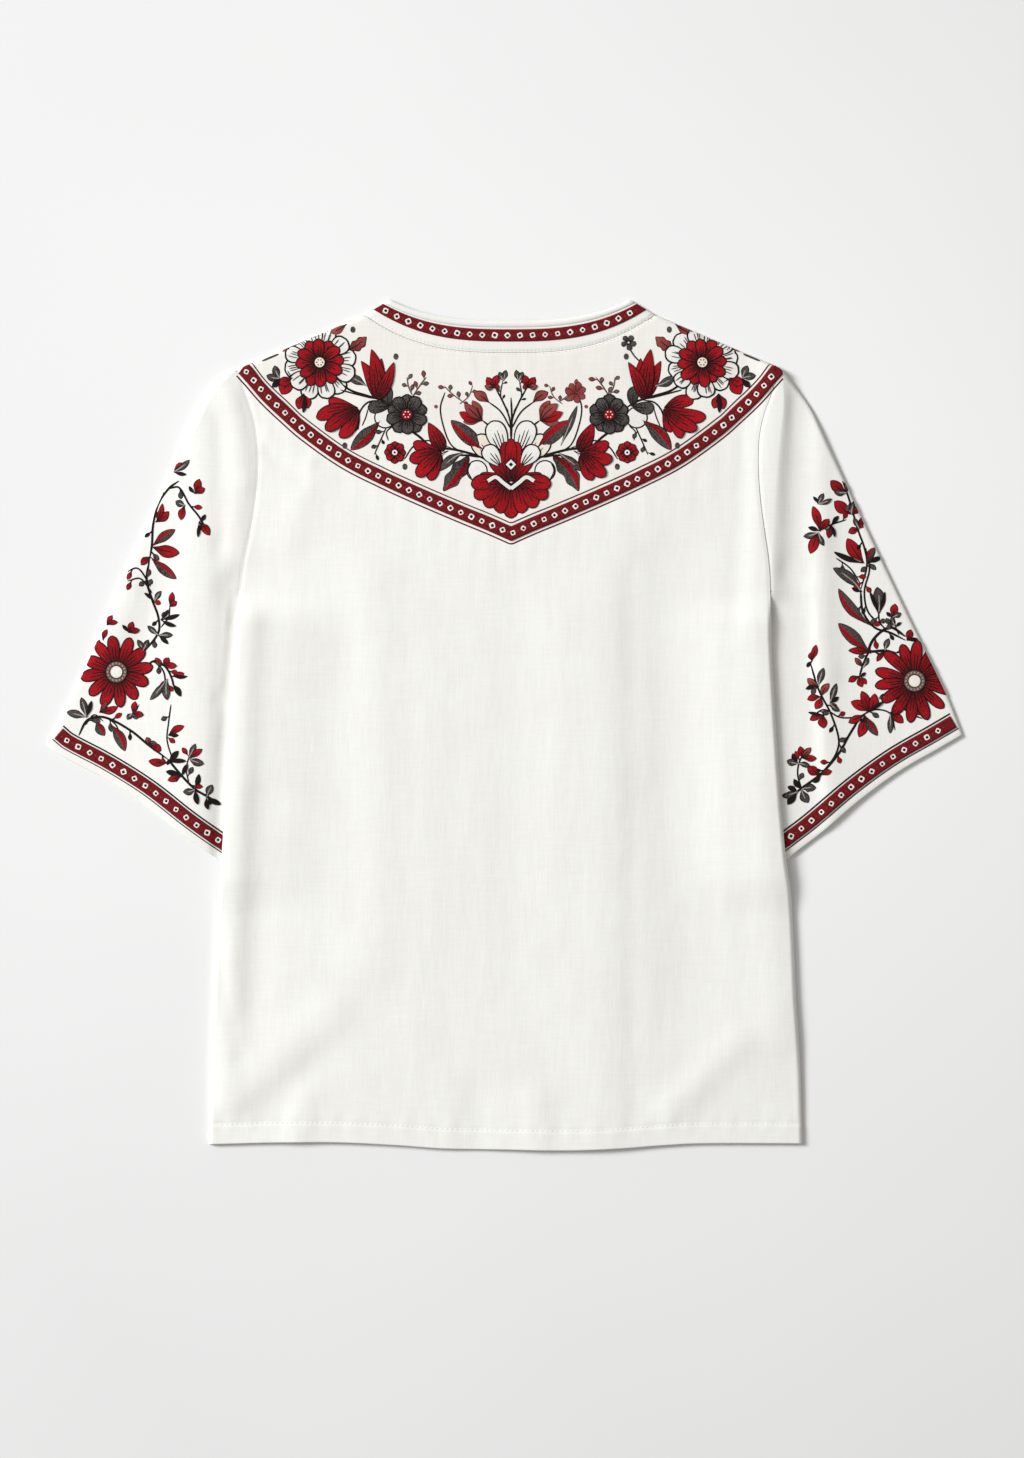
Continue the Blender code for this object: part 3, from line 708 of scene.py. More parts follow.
class Nodes:
    """A material's node tree, built a node at a time."""

    def __init__(self, name, roughness, sheen=0):
        self.material = bpy.data.materials.new(name)
        self.material.use_nodes = True
        self.tree = self.material.node_tree
        self.shader = self.tree.nodes["Principled BSDF"]
        self.shader.inputs["Roughness"].default_value = roughness
        self.shader.inputs["Specular IOR Level"].default_value = 0.25
        self.shader.inputs["Sheen Weight"].default_value = sheen
        self.shader.inputs["Sheen Roughness"].default_value = 0.5
        self.place = self.tree.nodes.new("ShaderNodeTexCoord").outputs["Object"]

    def plug(self, value, socket):
        if isinstance(value, bpy.types.NodeSocket):
            self.tree.links.new(value, socket)
        else:
            socket.default_value = value

    def add(self, kind, settings, *first, **named):
        """A node with its settings, and its inputs in their order or by name."""
        node = self.tree.nodes.new(kind)
        for key, value in settings.items():
            setattr(node, key, value)
        for key, value in (*enumerate(first), *named.items()):
            self.plug(value, node.inputs[key])
        return node

    def noise(self, scale, stretch=(1, 1, 1), detail=2):
        placed = self.add("ShaderNodeMapping", {}, self.place, Scale=stretch).outputs[0]
        return self.add("ShaderNodeTexNoise", {}, placed, Scale=scale, Detail=detail).outputs[0]

    def wave(self, direction, scale, distortion, detail_scale):
        settings = {"bands_direction": direction}
        node = self.add("ShaderNodeTexWave", settings, self.place, scale, distortion)
        node.inputs["Detail Scale"].default_value = detail_scale
        return node.outputs[1]

    def maths(self, operation, first, second):
        return self.add("ShaderNodeMath", {"operation": operation}, first, second).outputs[0]

    def spread(self, value, low, high, least=0, most=1):
        """A value between low and high as one between least and most."""
        return self.add("ShaderNodeMapRange", {}, value, low, high, least, most).outputs[0]

    def mix(self, share, first, second, blend="MIX"):
        node = self.add("ShaderNodeMix", {"data_type": "RGBA", "blend_type": blend})
        for index, value in ((0, share), (6, first), (7, second)):
            self.plug(value, node.inputs[index])
        return node.outputs[2]

    def tone(self):
        return self.add("ShaderNodeAttribute", {"attribute_name": "tone"}).outputs["Fac"]

    def finish(self, colour, height=None):
        self.tree.links.new(colour, self.shader.inputs["Base Color"])
        if height is not None:
            bump = self.add("ShaderNodeBump", {}, Strength=1, Distance=MM, Height=height)
            self.tree.links.new(bump.outputs[0], self.shader.inputs["Normal"])
        return self.material


def grey(value):
    return (value, value, value, 1)


def cloth_material(name, colour, relief):
    """Plain-weave linen: fine threads, slubs along both directions, and soft unevenness."""
    nodes = Nodes(name, 0.88, 0.12)
    waves = []
    for direction in ("X", "Y"):
        waves.append(nodes.wave(direction, THREADS, 1.2, 0.6))
    weave = nodes.maths("MULTIPLY", *waves)
    warp = nodes.noise(1, (900, 45, 45))
    weft = nodes.noise(1, (45, 900, 45))
    slubs = nodes.maths("ADD", nodes.spread(warp, 0.3, 0.7), nodes.spread(weft, 0.3, 0.7))
    cloud = nodes.noise(18, detail=3)
    patchy = nodes.spread(cloud, 0.3, 0.7, -0.25, 0.25)
    shade = nodes.maths("ADD", nodes.spread(slubs, 0.2, 1.8), patchy)
    shade = nodes.maths("MULTIPLY", shade, nodes.spread(weave, 0, 1, 0.8, 1))
    dark = (colour[0] * 0.94, colour[1] * 0.93, colour[2] * 0.915, 1)
    tinted = nodes.mix(nodes.spread(shade, 0, 1), dark, (*colour, 1))
    if name == "linen":
        cream = nodes.mix(nodes.spread(cloud, 0.3, 0.7), YOKE_CREAM, YOKE_PALE)
        tinted = nodes.mix(nodes.tone(), tinted, nodes.mix(1, tinted, cream, "MULTIPLY"))
    pressed = nodes.noise(1, (75, 18, 18), 3)
    wrinkles = nodes.maths("ADD", pressed, nodes.noise(40, detail=3))
    crumple = nodes.maths("MULTIPLY", wrinkles, relief)
    threads = nodes.maths("MULTIPLY", weave, 0.015)
    slub_rise = nodes.maths("MULTIPLY", slubs, 0.02)
    height = nodes.maths("ADD", nodes.maths("ADD", crumple, threads), slub_rise)
    return nodes.finish(tinted, height)


def thread_material(name, dark, light, grain=0.35):
    """Embroidery thread: colour by the piece's tone, with the grain of close stitches."""
    nodes = Nodes(name, 0.75, 0.03)
    nodes.shader.inputs["Specular IOR Level"].default_value = 0.08
    stitches = nodes.noise(1500, detail=1)
    share = nodes.maths("ADD", nodes.tone(), nodes.spread(stitches, 0.35, 0.65, -grain, grain))
    colour = nodes.mix(nodes.spread(share, 0, 1), (*dark, 1), (*light, 1))
    return nodes.finish(colour, nodes.maths("MULTIPLY", stitches, 0.12))


def braid_material(name):
    """Woven braid: dark and light red threads in short slanting floats."""
    nodes = Nodes(name, 0.8, 0.03)
    nodes.shader.inputs["Specular IOR Level"].default_value = 0.1
    floats = nodes.wave("DIAGONAL", FLOATS, 2.5, 1)
    share = nodes.maths("MULTIPLY", floats, nodes.spread(nodes.noise(900), 0.3, 0.7))
    colour = nodes.mix(nodes.spread(share, 0, 0.6), BRAID_DARK, BRAID_LIGHT)
    return nodes.finish(colour, nodes.maths("MULTIPLY", share, 0.1))


THREADS = 560
FLOATS = 300
YOKE_CREAM = (0.955, 0.935, 0.915, 1)
YOKE_PALE = (0.985, 0.975, 0.965, 1)
BRAID_DARK = (0.10, 0.005, 0.007, 1)
BRAID_LIGHT = (0.24, 0.011, 0.014, 1)
linen = cloth_material("linen", (0.86, 0.86, 0.828), 0.3)
band_linen = cloth_material("band_linen", (0.84, 0.832, 0.80), 0.12)
braid = braid_material("braid")
threads = {
    RED: thread_material("red_thread", (0.06, 0.002, 0.004), (0.44, 0.008, 0.014)),
    RUST: thread_material("rust_thread", (0.12, 0.018, 0.017), (0.34, 0.07, 0.062)),
    MAROON: thread_material("maroon_thread", (0.05, 0.008, 0.009), (0.12, 0.02, 0.02)),
    DARK: thread_material("dark_thread", (0.006, 0.004, 0.004), (0.016, 0.011, 0.01)),
    COAL: thread_material("charcoal_thread", (0.012, 0.01, 0.009), (0.1, 0.087, 0.08), 0.6),
    BROWN: thread_material("brown_thread", (0.05, 0.026, 0.022), (0.21, 0.13, 0.115)),
    GREY: thread_material("grey_thread", (0.2, 0.18, 0.165), (0.42, 0.39, 0.36)),
    WHITE: thread_material("white_thread", (0.66, 0.64, 0.6), (0.86, 0.85, 0.82)),
    CREAM: thread_material("cream_thread", (0.7, 0.62, 0.5), (0.84, 0.79, 0.7)),
    STITCH: thread_material("stitch_thread", (0.8, 0.79, 0.76), (0.9, 0.9, 0.88)),
}


def make_body():
    half = stretches(0, (0.93, 64), (0.98, 8), (1, 10))
    rows = stretches(0, (0.003, 5), (0.035, 16), (0.985, 182), (1, 14))
    plan = body_plan(both_sides(half), rows, lambda x: back_top(x) - 0.2)
    x, y = plan[..., 0], plan[..., 1]
    in_yoke = smooth_step((y - yoke_height(np.abs(x - YOKE_MIDDLE), 4)) / 4)
    back = add_grid("back_cloth", laid(plan, back_height), linen, SHELL, in_yoke.ravel())
    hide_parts("back_panel")
    half = stretches(0, (1, 30))
    plan = body_plan(both_sides(half), stretches(0, (1, 90)), front_top)
    front = add_grid("front_cloth", laid(plan, front_height), linen, WALL)
    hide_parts("front_panel")
    return back, front


def make_neck():
    shares = both_sides(stretches(0, (0.96, 90), (1, 12)))
    plan, share, depth = band_plan(stretches(1, (0.9, 8), (BINDING_DEPTH, 20)), shares)
    z = band_height(plan, share) - groove((depth - 1) * BAND_WIDTH, *NECK_GROOVE)
    z = z - groove((depth - 0.93) * BAND_WIDTH, *STITCH_GROOVE)
    band = add_grid("neckband_cloth", with_height(plan, z), band_linen, BAND_SHELL)
    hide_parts("neckband_back")

    plan, share, depth = band_plan(stretches(BINDING_DEPTH, (0, 14)), shares)
    rise = np.sin(np.pi * np.clip(depth / BINDING_DEPTH, 0, 1)) ** 0.5
    z = band_height(plan, share) - 0.4 + 1.3 * rise
    binding = add_grid("neck_binding_cloth", with_height(plan, z), band_linen, BAND_SHELL)
    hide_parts("neck_binding_back")

    plan, share, depth = band_plan(stretches(TAPE_DEPTHS[1], (TAPE_DEPTHS[0], 6)), shares)
    net = with_height(plan, band_height(plan, share) + NECK_BRAID_LIFT)
    tape = add_grid("neck_braid", net, braid, BRAID_SHELL)
    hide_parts("neck_tape")

    fronts = []
    for side, sign in SIGNS.items():
        across = np.sort(sign * np.linspace(0.0016, 1, 60))
        share, depth = np.meshgrid(across, np.linspace(1, 0, 5))
        reach = np.abs(share)
        edge_y = V_NECK_HEIGHT + (NECK_HEIGHT + NECK_RISE - V_NECK_HEIGHT) * reach
        seam_y = V_BAND_HEIGHT + (BAND_HEIGHT + BAND_RISE - V_BAND_HEIGHT) * reach
        half = NECK_HALF * (1 - depth) + BAND_HALF * depth
        y = edge_y * (1 - depth) + seam_y * depth
        net = np.stack([NECK_MIDDLE + half * share, y, np.full_like(y, WALL)], axis=-1)
        fronts.append(add_grid("neckband_front_cloth_" + side, net, band_linen, WALL))
        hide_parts("neckband_front_" + side)
    return band, binding, tape, fronts


def yoke_height(across, inset):
    """Height of a line that runs above the foot of the yoke's border, at a distance across."""
    step = 1
    rise = read_table(YOKE_FOOT, across + step) - read_table(YOKE_FOOT, np.maximum(0, across - step))
    run = np.minimum(across, step) + step
    return read_table(YOKE_FOOT, across) + inset * np.hypot(1, rise / run)


def yoke_plan(insets, steps):
    """Plan points of strips along the yoke's border, cut off by the shoulders."""
    share, inset = np.meshgrid(np.linspace(-1, 1, steps), insets)
    x = np.clip(YOKE_MIDDLE + share * (YOKE_REACH - 0.6 * inset), *YOKE_ENDS)
    y = yoke_height(np.abs(x - YOKE_MIDDLE), inset)
    return np.stack([x, np.minimum(y, back_top(x) - YOKE_MARGIN)], axis=-1)


def make_yoke_tape():
    plan = yoke_plan(np.linspace(*YOKE_TAPE_INSETS, 7), 420)
    tape = add_grid("yoke_braid", laid(plan, back_height, TAPE_LIFT), braid, BRAID_SHELL)
    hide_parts("yoke_tape")
    return tape


def cuff_plan(side, insets, steps, first, last):
    """Plan points of strips along a sleeve's hem, at distances square to it."""
    hem = smooth_path(SLEEVE_HEM[side])
    share = np.linspace(first, last, steps)
    line = hem(share)
    run = hem(np.minimum(share + 0.01, 1)) - hem(np.maximum(share - 0.01, 0))
    run /= np.linalg.norm(run, axis=1)[:, None]
    inward = np.stack([-run[:, 1], run[:, 0]], axis=1) * SIGNS[side]
    return np.stack([line + inward * inset for inset in insets])


def fold_place(side, y):
    """Place across of a sleeve's fold at a height."""
    return read_table(np.array(SLEEVE_FOLD[side])[::-1, ::-1], y)


def sleeve_height(side, x, y):
    """Height of a sleeve's face at a plan point, with its fold turned down."""
    inset = (fold_place(side, y) - x) * SIGNS[side] * 0.9
    round_share = turned(np.maximum(inset, 0.15), SLEEVE_ROLL)
    return FOLD_HEIGHT + (sleeve_top(x, y) - FOLD_HEIGHT) * round_share


def keep_on_sleeve(side, plan):
    """Plan points with those past the sleeve's fold brought back to it."""
    sign = SIGNS[side]
    kept = plan.copy()
    farthest = sign * fold_place(side, plan[..., 1]) - BRAID_MARGIN
    kept[..., 0] = sign * np.minimum(sign * plan[..., 0], farthest)
    return kept


def make_cuff_tape(side):
    plan = cuff_plan(side, np.linspace(CUFF_TAPE_FOOT, CUFF_TAPE_TOP, 7), 140, 0.02, 0.995)
    plan = keep_on_sleeve(side, plan)
    if side == "left":
        plan = plan[::-1]
    z = sleeve_height(side, plan[..., 0], plan[..., 1]) + TAPE_LIFT
    tape = add_grid("cuff_braid_" + side, with_height(plan, z), braid, BRAID_SHELL)
    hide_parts("cuff_tape_" + side)
    return tape


# Patches of thread wait here by place and colour until all are drawn, then become one piece each.
patches = {}
chance = np.random.default_rng(11)


def lay(place, colour, plan, faces, rise, tone):
    """Keeps a patch: plan points, faces, how far each point stands off the cloth, and its tone."""
    patches.setdefault((place, colour), []).append((plan, faces, rise, tone))


def outline_share(kind, t):
    """Half width of a petal or leaf along its length, as a share of its greatest."""
    if kind == "petal":
        neck = 0.3 + 0.7 * np.sin(np.pi / 2 * np.clip(t / 0.62, 0, 1))
        return neck * np.sqrt(1 - np.clip((t - 0.62) / 0.38, 0, 1) ** 2.4)
    if kind == "tulip":
        return np.sin(np.pi * t**0.7) ** 0.75
    if kind == "oak":
        return np.sin(np.pi * t**0.95) ** 0.65 * (0.88 + 0.13 * np.cos(2 * np.pi * 2.7 * t + 0.6))
    return np.sin(np.pi * t**1.2) ** 0.7 * (0.4 + 0.6 * np.minimum(1, t / 0.45))


def blade(place, colour, base, tip, width, kind="leaf", bend=0, edge=0.7, rise=0.24, veins=0, side=0):
    """A petal or leaf from its base to its tip; side -1 or 1 draws that half alone."""
    base, tip = np.array(base, float), np.array(tip, float)
    length = math.dist(base, tip)
    run = (tip - base) / length
    square = np.array([-run[1], run[0]])
    if edge:
        ends = (base - run * edge * 0.6, tip + run * edge)
        blade(place, DARK, *ends, width + 2 * edge, kind, bend, 0, rise - 0.06)
    t = np.linspace(0.004, 0.996, max(7, int(length / 1.3)))
    s = np.linspace(-1 if side <= 0 else 0, 1 if side >= 0 else 0, 5 if side == 0 else 3)
    half = outline_share(kind, t) * width / 2
    line = base + run * (t * length)[:, None] + square * (bend * length * 4 * t * (1 - t))[:, None]
    plan = line[:, None, :] + square * (half[:, None] * s[None, :])[..., None]
    swell = 0.08 * (1 - s[None, :] ** 2) * np.sin(np.pi * t)[:, None]
    tone = 0.78 + chance.uniform(-0.15, 0.1) - 0.75 * (1 - t)[:, None] ** 2 - 0.15 * np.abs(s)[None, :]
    points = plan.reshape(-1, 2)
    lay(place, colour, points, grid_faces(len(t), len(s)), (rise + swell).ravel(), tone.ravel())
    for k in range(veins):
        away = (k + 1) / (veins + 1) * 2 - 1
        far = 0.78 - 0.3 * abs(away) + chance.uniform(-0.06, 0.06)
        picked = [int(share * (len(t) - 1)) for share in (0.08, far * 0.5, far)]
        points = [line[i] + square * half[i] * away * 0.9 for i in picked]
        hatch = GREY if colour == COAL and kind != "petal" else DARK
        stroke(place, hatch, points, VEIN, rise + 0.07, (1, 0.3))


def stroke(place, colour, points, width, rise=0.2, ends=(0.5, 0.4)):
    """A line of thread through points, its ends narrower."""
    points = np.array(points, float)
    length = np.linalg.norm(np.diff(points, axis=0), axis=1).sum()
    t = np.linspace(0, 1, max(5, int(length / 1.6)))
    line = smooth_path(points)(t)
    run = np.gradient(line, axis=0)
    run /= np.maximum(np.linalg.norm(run, axis=1), 1e-9)[:, None]
    square = np.stack([-run[:, 1], run[:, 0]], axis=1)
    taper = np.minimum(1, ends[0] + t * 6) * np.minimum(1, ends[1] + (1 - t) * 4)
    s = np.array([-1, 0, 1])
    plan = line[:, None, :] + square[:, None, :] * (taper[:, None] * s[None, :] * width / 2)[..., None]
    raised = np.broadcast_to(rise + 0.08 * (1 - s**2), plan.shape[:2])
    tone = np.broadcast_to(0.5 + 0.1 * s, plan.shape[:2])
    lay(place, colour, plan.reshape(-1, 2), grid_faces(len(t), 3), raised.ravel(), tone.ravel())


def disc(place, colour, centre, radius, rise=0.3, edge=0, inner=0, squash=1, sides=18):
    """A round patch, or a ring where it has an inner radius."""
    if edge:
        disc(place, DARK, centre, radius + edge, rise - 0.06, 0, 0, squash, sides)
    angles = np.linspace(0, 2 * np.pi, sides + 1)
    radii = np.linspace(inner, radius, 3 if radius < 5 else 5)
    x = centre[0] + radii[:, None] * np.cos(angles)[None, :]
    y = centre[1] + radii[:, None] * np.sin(angles)[None, :] * squash
    plan = np.stack([x, y], axis=-1)
    raised = rise + 0.08 * np.sin(np.pi * np.clip((radii - inner) / (radius - inner), 0, 1))
    raised = np.broadcast_to(raised[:, None], x.shape)
    tone = np.full(x.shape, 0.6 + chance.uniform(-0.1, 0.1))
    faces = grid_faces(len(radii), sides + 1)
    lay(place, colour, plan.reshape(-1, 2), faces, raised.ravel(), tone.ravel())


def ring(place, colour, centre, count, turn, reach, radius, rise):
    """Small dots around a place, each at one more turn than the last."""
    for k in range(count):
        spot = (centre[0] + reach * math.cos(turn * k), centre[1] + reach * math.sin(turn * k))
        disc(place, colour, spot, radius, rise, sides=6)


def petals(place, colour, centre, radii, count, width, turn=0, veins=1, edge=0.7, rise=0.26):
    """A ring of petals, each a little unlike the next, every second one over its neighbours."""
    for k in range(count):
        angle = math.radians(turn + 360 * k / count + chance.uniform(-3, 3))
        reach = radii[1] * chance.uniform(0.94, 1.05)
        out = np.array([math.cos(angle), math.sin(angle)])
        ends = (np.array(centre) + out * radii[0], np.array(centre) + out * reach)
        wide = width * chance.uniform(0.92, 1.06)
        over = rise + 0.2 * (k % 2)
        blade(place, colour, *ends, wide, "petal", chance.uniform(-0.04, 0.04), edge, over, veins)


def spray(place, base, leaves, kind="leaf", edge=0.65, veins=1, slim=1):
    """Leaves or petals from one point, each by its tip's place and width, and its colour if not red."""
    for k, (x, y, width, *other) in enumerate(leaves):
        tip = (x, y)
        width = width * slim
        colour = other[0] if other else RED
        bend = chance.uniform(-0.08, 0.08)
        over = 0.22 + 0.2 * k
        if colour == HALF:
            blade(place, COAL, base, tip, width, kind, bend, 0.5, over)
            blade(place, RED, base, tip, width * 0.8, kind, bend, 0, over + 0.05, side=1)
        else:
            around = 0 if colour == DARK else edge
            blade(place, colour, base, tip, width, kind, bend, around, over, veins)


def twig(place, points, width, leaf, colours, every, start=0.15, stem=DARK):
    """A stem with small leaves to each side in turn."""
    stroke(place, stem, points, width)
    points = np.array(points, float)
    length = np.linalg.norm(np.diff(points, axis=0), axis=1).sum()
    path = smooth_path(points)
    for k, share in enumerate(np.arange(start, 1, every / length)):
        here = path(np.array(share))
        run = path(np.array(min(share + 0.02, 1))) - path(np.array(max(share - 0.02, 0)))
        turn = math.radians(48 if k % 2 else -48)
        angle = math.atan2(run[1], run[0]) + turn + chance.uniform(-0.2, 0.2)
        out = np.array([math.cos(angle), math.sin(angle)]) * leaf * chance.uniform(0.8, 1.15)
        colour = colours[k % len(colours)]
        stroke(place, stem, [here, here + out * 0.15, here + out * 0.35], width * 0.7)
        around = 0 if colour == DARK else 0.5
        blade(place, colour, here + out * 0.18, here + out, leaf * 0.4, edge=around)


def small_flower(place, centre, radius, colour=RED):
    petals(place, colour, centre, (radius * 0.2, radius), 8, radius * 0.6, 90, 1, 0.8)
    disc(place, DARK, centre, radius * 0.34, 0.62)
    disc(place, WHITE, centre, radius * 0.26, 0.68)
    disc(place, DARK, centre, radius * 0.12, 0.74, sides=8)


def yoke_side(sign):
    """One half of the yoke's embroidery, with places as distance from the middle and height."""
    place = "yoke"

    def at(out, height):
        return (YOKE_MIDDLE + sign * out, height)

    def line(*points):
        return [at(*point) for point in points]

    def stem(width, *points, colour=DARK):
        stroke(place, colour, line(*points), width)

    def fan(base, *leaves, **more):
        spray(place, at(*base), [(*at(*leaf[:2]), *leaf[2:]) for leaf in leaves], **more)

    def bloom(kind, base, *ends):
        fan(base, *ends, kind=kind, edge=0.8, veins=3)

    # The large double flower that the shoulder cuts off.
    big = at(149, 282.4)
    petals(place, WHITE, big, (12, 28), 12, 12.2, 12, 0, 1.25, 0.2)
    for shift in (-6, 0, 6):
        petals(place, COAL, big, (16, 24.5), 12, 0.8, 12 + shift, 0, 0, 0.5)
    petals(place, RED, big, (3, 18.6), 12, 7.6, 4, 3, 1, 0.56)
    disc(place, DARK, big, 5.2, 0.94)
    disc(place, CREAM, big, 3.8, 1)
    ring(place, RUST, big, 6, 1.05, 2.2, 0.7, 1.06)
    fan((128, 312.5), (141, 305, 6, RUST), edge=0.2)
    fan((162, 299.5), (178, 291, 4, RUST), edge=0.2)
    stem(1.6, (181, 289), (187, 286.5), (194, 283.5), colour=COAL)
    fan((126, 292.5), (113, 302, 9, RUST), kind="oak")
    fan((180, 270), (184, 279.5, 5, COAL), (190, 272, 5, COAL), (186, 263, 5, DARK))
    fan((170, 270.5), (178.5, 258, 10), (180.5, 266, 7))
    stem(1.1, (174, 276), (170, 270), (164, 266))
    fan((161.5, 258), (158, 247, 6.5), (165.5, 246.5, 6.5), (162, 243, 4, DARK))
    for dot in ((123.2, 308), (89.7, 287), (129.5, 217.6), (82.7, 201.2)):
        disc(place, COAL, at(*dot), 1.9, squash=1.3)

    # The upright tulip and its stem.
    tips = ((116.5, 283, 10), (101, 285, 9.5), (108.6, 292, 11.5), (91.5, 282, 8.5))
    bloom("tulip", (103.5, 254), *tips)
    fan((112.5, 264), (127, 271.5, 6, COAL))
    stem(1.7, (139, 272), (126, 261.3), (112, 256.5), (98, 252), (88, 246))
    stem(1.2, (133, 261), (120, 257.5), (106, 254))

    # The side tulip, the white petal and the charcoal flower.
    tips = ((141.5, 253, 9), (124, 228.5, 7), (151, 239.5, 10))
    bloom("petal", (120, 246), *tips, (132.5, 224, 9), (144, 230, 9.5))
    stem(1.3, (119, 230), (118, 243), (112, 251), (103, 253))
    stem(0.9, (116, 233), (113, 240), (111.5, 246))
    fan((95.5, 248), (96.5, 263.5, 8, COAL), (111, 247, 9, COAL), kind="petal")
    disc(place, WHITE, at(98, 239.5), 7.6, 0.2, 1.1)
    heart = at(81.1, 241.8) if sign < 0 else at(76.5, 241.8)
    petals(place, COAL, heart, (3.2, 15), 10, 8.2, 90, 3, 1, 0.4)
    disc(place, DARK, heart, 4.8, 0.78)
    disc(place, RED, heart, 4, 0.84)
    ring(place, WHITE, heart, 6, 1.05, 2.3, 0.6, 0.9)

    if sign > 0:
        petals(place, COAL, at(91.5, 298), (1, 6), 5, 3.6, 60, 0, 0.4)
        stem(1.2, (92.5, 293), (96, 287.5), (100.5, 283), colour=COAL)
        fan((38.5, 217), (51.5, 248.5, 4.6, COAL), edge=0.3)
        petals(place, RUST, at(50.5, 259), (1, 8), 7, 4.4, 20, 0, 0.4)
    # Leaves and small flowers below the charcoal flower.
    fan((101, 238), (124.5, 214.5, 10.5, HALF))
    twig(place, line((97, 232), (102, 221), (106.5, 210.5)), 1, 6.5, (COAL, DARK), 6)
    stem(1, (92, 233), (97, 228), (95.5, 221.5))
    small_flower(place, at(90.5, 212.2), 8)
    twig(place, line((77, 255), (72, 263), (66, 271)), 1.1, 6.5, (BROWN, RUST), 4.6, stem=BROWN)
    twig(place, line((77, 257), (80, 264), (81, 271)), 1, 5.6, (BROWN,), 5, stem=BROWN)

    # The second tulip and the stems that meet at the middle.
    tips = ((57, 199, 6.5), (75.5, 219.5, 8.5), (63, 191, 8.5))
    bloom("petal", (55.5, 212.5), *tips, (78.5, 206.5, 9.5), (73, 194, 9.5))
    bloom("tulip", (53, 213), (64, 235, 10.5))
    fan((49, 213.5), (62.5, 206.5, 3.5, WHITE), edge=0.5)
    stem(1.1, (83, 207), (76, 217), (66, 221.5), (56, 219), (47, 216))
    stem(1.9, (82, 232), (72, 225), (62, 217), (44, 214.5), (24, 209), (9, 202.5))
    stem(1.1, (51.5, 259), (55, 247), (52.5, 232), (46.5, 218), (37, 212))
    fan((36, 212.5), (55.5, 198, 6, COAL))
    fan((33, 209), (52.5, 182.5, 13, HALF), kind="oak")
    stem(1.5, (40, 210), (33.5, 210), (24, 208.5))
    disc(place, WHITE, at(26.5, 198), 7.4, 0.16, 1.1)
    stem(1, (31, 205), (33.5, 198), (30, 190.5))
    fan((16.5, 211), (46.5, 237, 11, HALF))
    blade(place, CREAM, at(13, 206), at(27.5, 224.5), 15, "petal", 0, 1.1, 0.22, 3)
    blade(place, WHITE, at(6, 212), at(14.5, 236), 15, "petal", 0, 1.1, 0.42, 4)
    blade(place, WHITE, at(9, 203), at(20, 216.5), 12, "petal", 0, 1.1, 0.62, 3)

    # Twigs above the middle, fainter towards the neck.
    stem(1.3, (0, 222), (1, 238), (6, 251), (13, 264))
    stem(1.2, (0.5, 231), (8, 244), (18, 252))
    twig(place, line((2, 244), (8, 256), (6.5, 268)), 0.9, 4.6, (DARK, COAL), 6.5, 0.4)
    tips = ((18.5, 270.5, 5), (11, 272, 5), (9.5, 263.5, 3.5), (20, 264, 4, RUST))
    fan((13, 263), *tips)
    fan((6, 268), (4, 276, 3.6, COAL), (9, 274.5, 3.4, COAL))
    fan((17, 251), (28.5, 259, 7, RUST))
    stem(1.3, (22, 237), (14, 230.5), (6, 222))
    tips = ((37, 236, 6, RUST), (30, 252.5, 6.5, RUST), (40, 243.5, 7), (36, 250, 7, RUST))
    fan((22.5, 237), *tips, edge=0.35)
    twig(place, line((38, 252), (46, 258), (52, 264)), 0.9, 6, (BROWN, RUST), 4.6, stem=BROWN)
    twig(place, line((40, 250), (33, 256), (30, 264)), 0.8, 4.6, (RUST,), 5, stem=BROWN)
    disc(place, RUST, at(58.5, 248), 1.4)


def yoke_middle():
    """The flower at the middle of the yoke."""
    place = "yoke"

    def at(out, height):
        return (YOKE_MIDDLE + out, height)

    lower = ((30.5, 187.5), (28, 177.5), (19, 170), (9, 165.5))
    for out, height in lower:
        for sign in (-1, 1):
            base = at(sign * min(6, out * 0.3), 189)
            over = 0.34 + 0.12 * (4 - lower.index((out, height)))
            blade(place, RED, base, at(sign * out, height), 11, "petal", sign * 0.05, 0.85, over, 3)
    blade(place, RED, at(0, 188), at(0, 161.5), 11.5, "petal", 0, 0.85, 0.3, 3)
    for sign in (-1, 1):
        ends = (at(sign * 5, 194), at(sign * 24, 193.5))
        blade(place, RED, *ends, 9, "petal", sign * -0.1, 0.85, 0.34, 2)
        zigzag = [at(sign * out, height) for out, height in ((18, 190), (12, 193), (6, 188.5), (0, 184))]
        stroke(place, DARK, zigzag, 4.4, 0.98, (1, 1))
        stroke(place, WHITE, zigzag, 2.8, 1.04, (1, 1))
        for out, height in ((16, 208), (10, 215), (5, 220)):
            over = 0.4 + 0.1 * (16 - out) / 5.5
            blade(place, RED, at(sign * 1, 190), at(sign * out, height), 8, "petal", 0, 0.8, over, 2)
    blade(place, RED, at(0, 190), at(0, 222.5), 8.5, "petal", 0, 0.8, 0.74, 3)
    disc(place, DARK, at(0, 202.8), 5.2, 0.9, sides=4)
    disc(place, WHITE, at(0, 202.8), 4, 0.96, sides=4)
    disc(place, DARK, at(0, 202.8), 1.9, 1.02, sides=4)
    stroke(place, DARK, [at(0, 221), at(0.6, 238), at(0, 255)], 1.4)


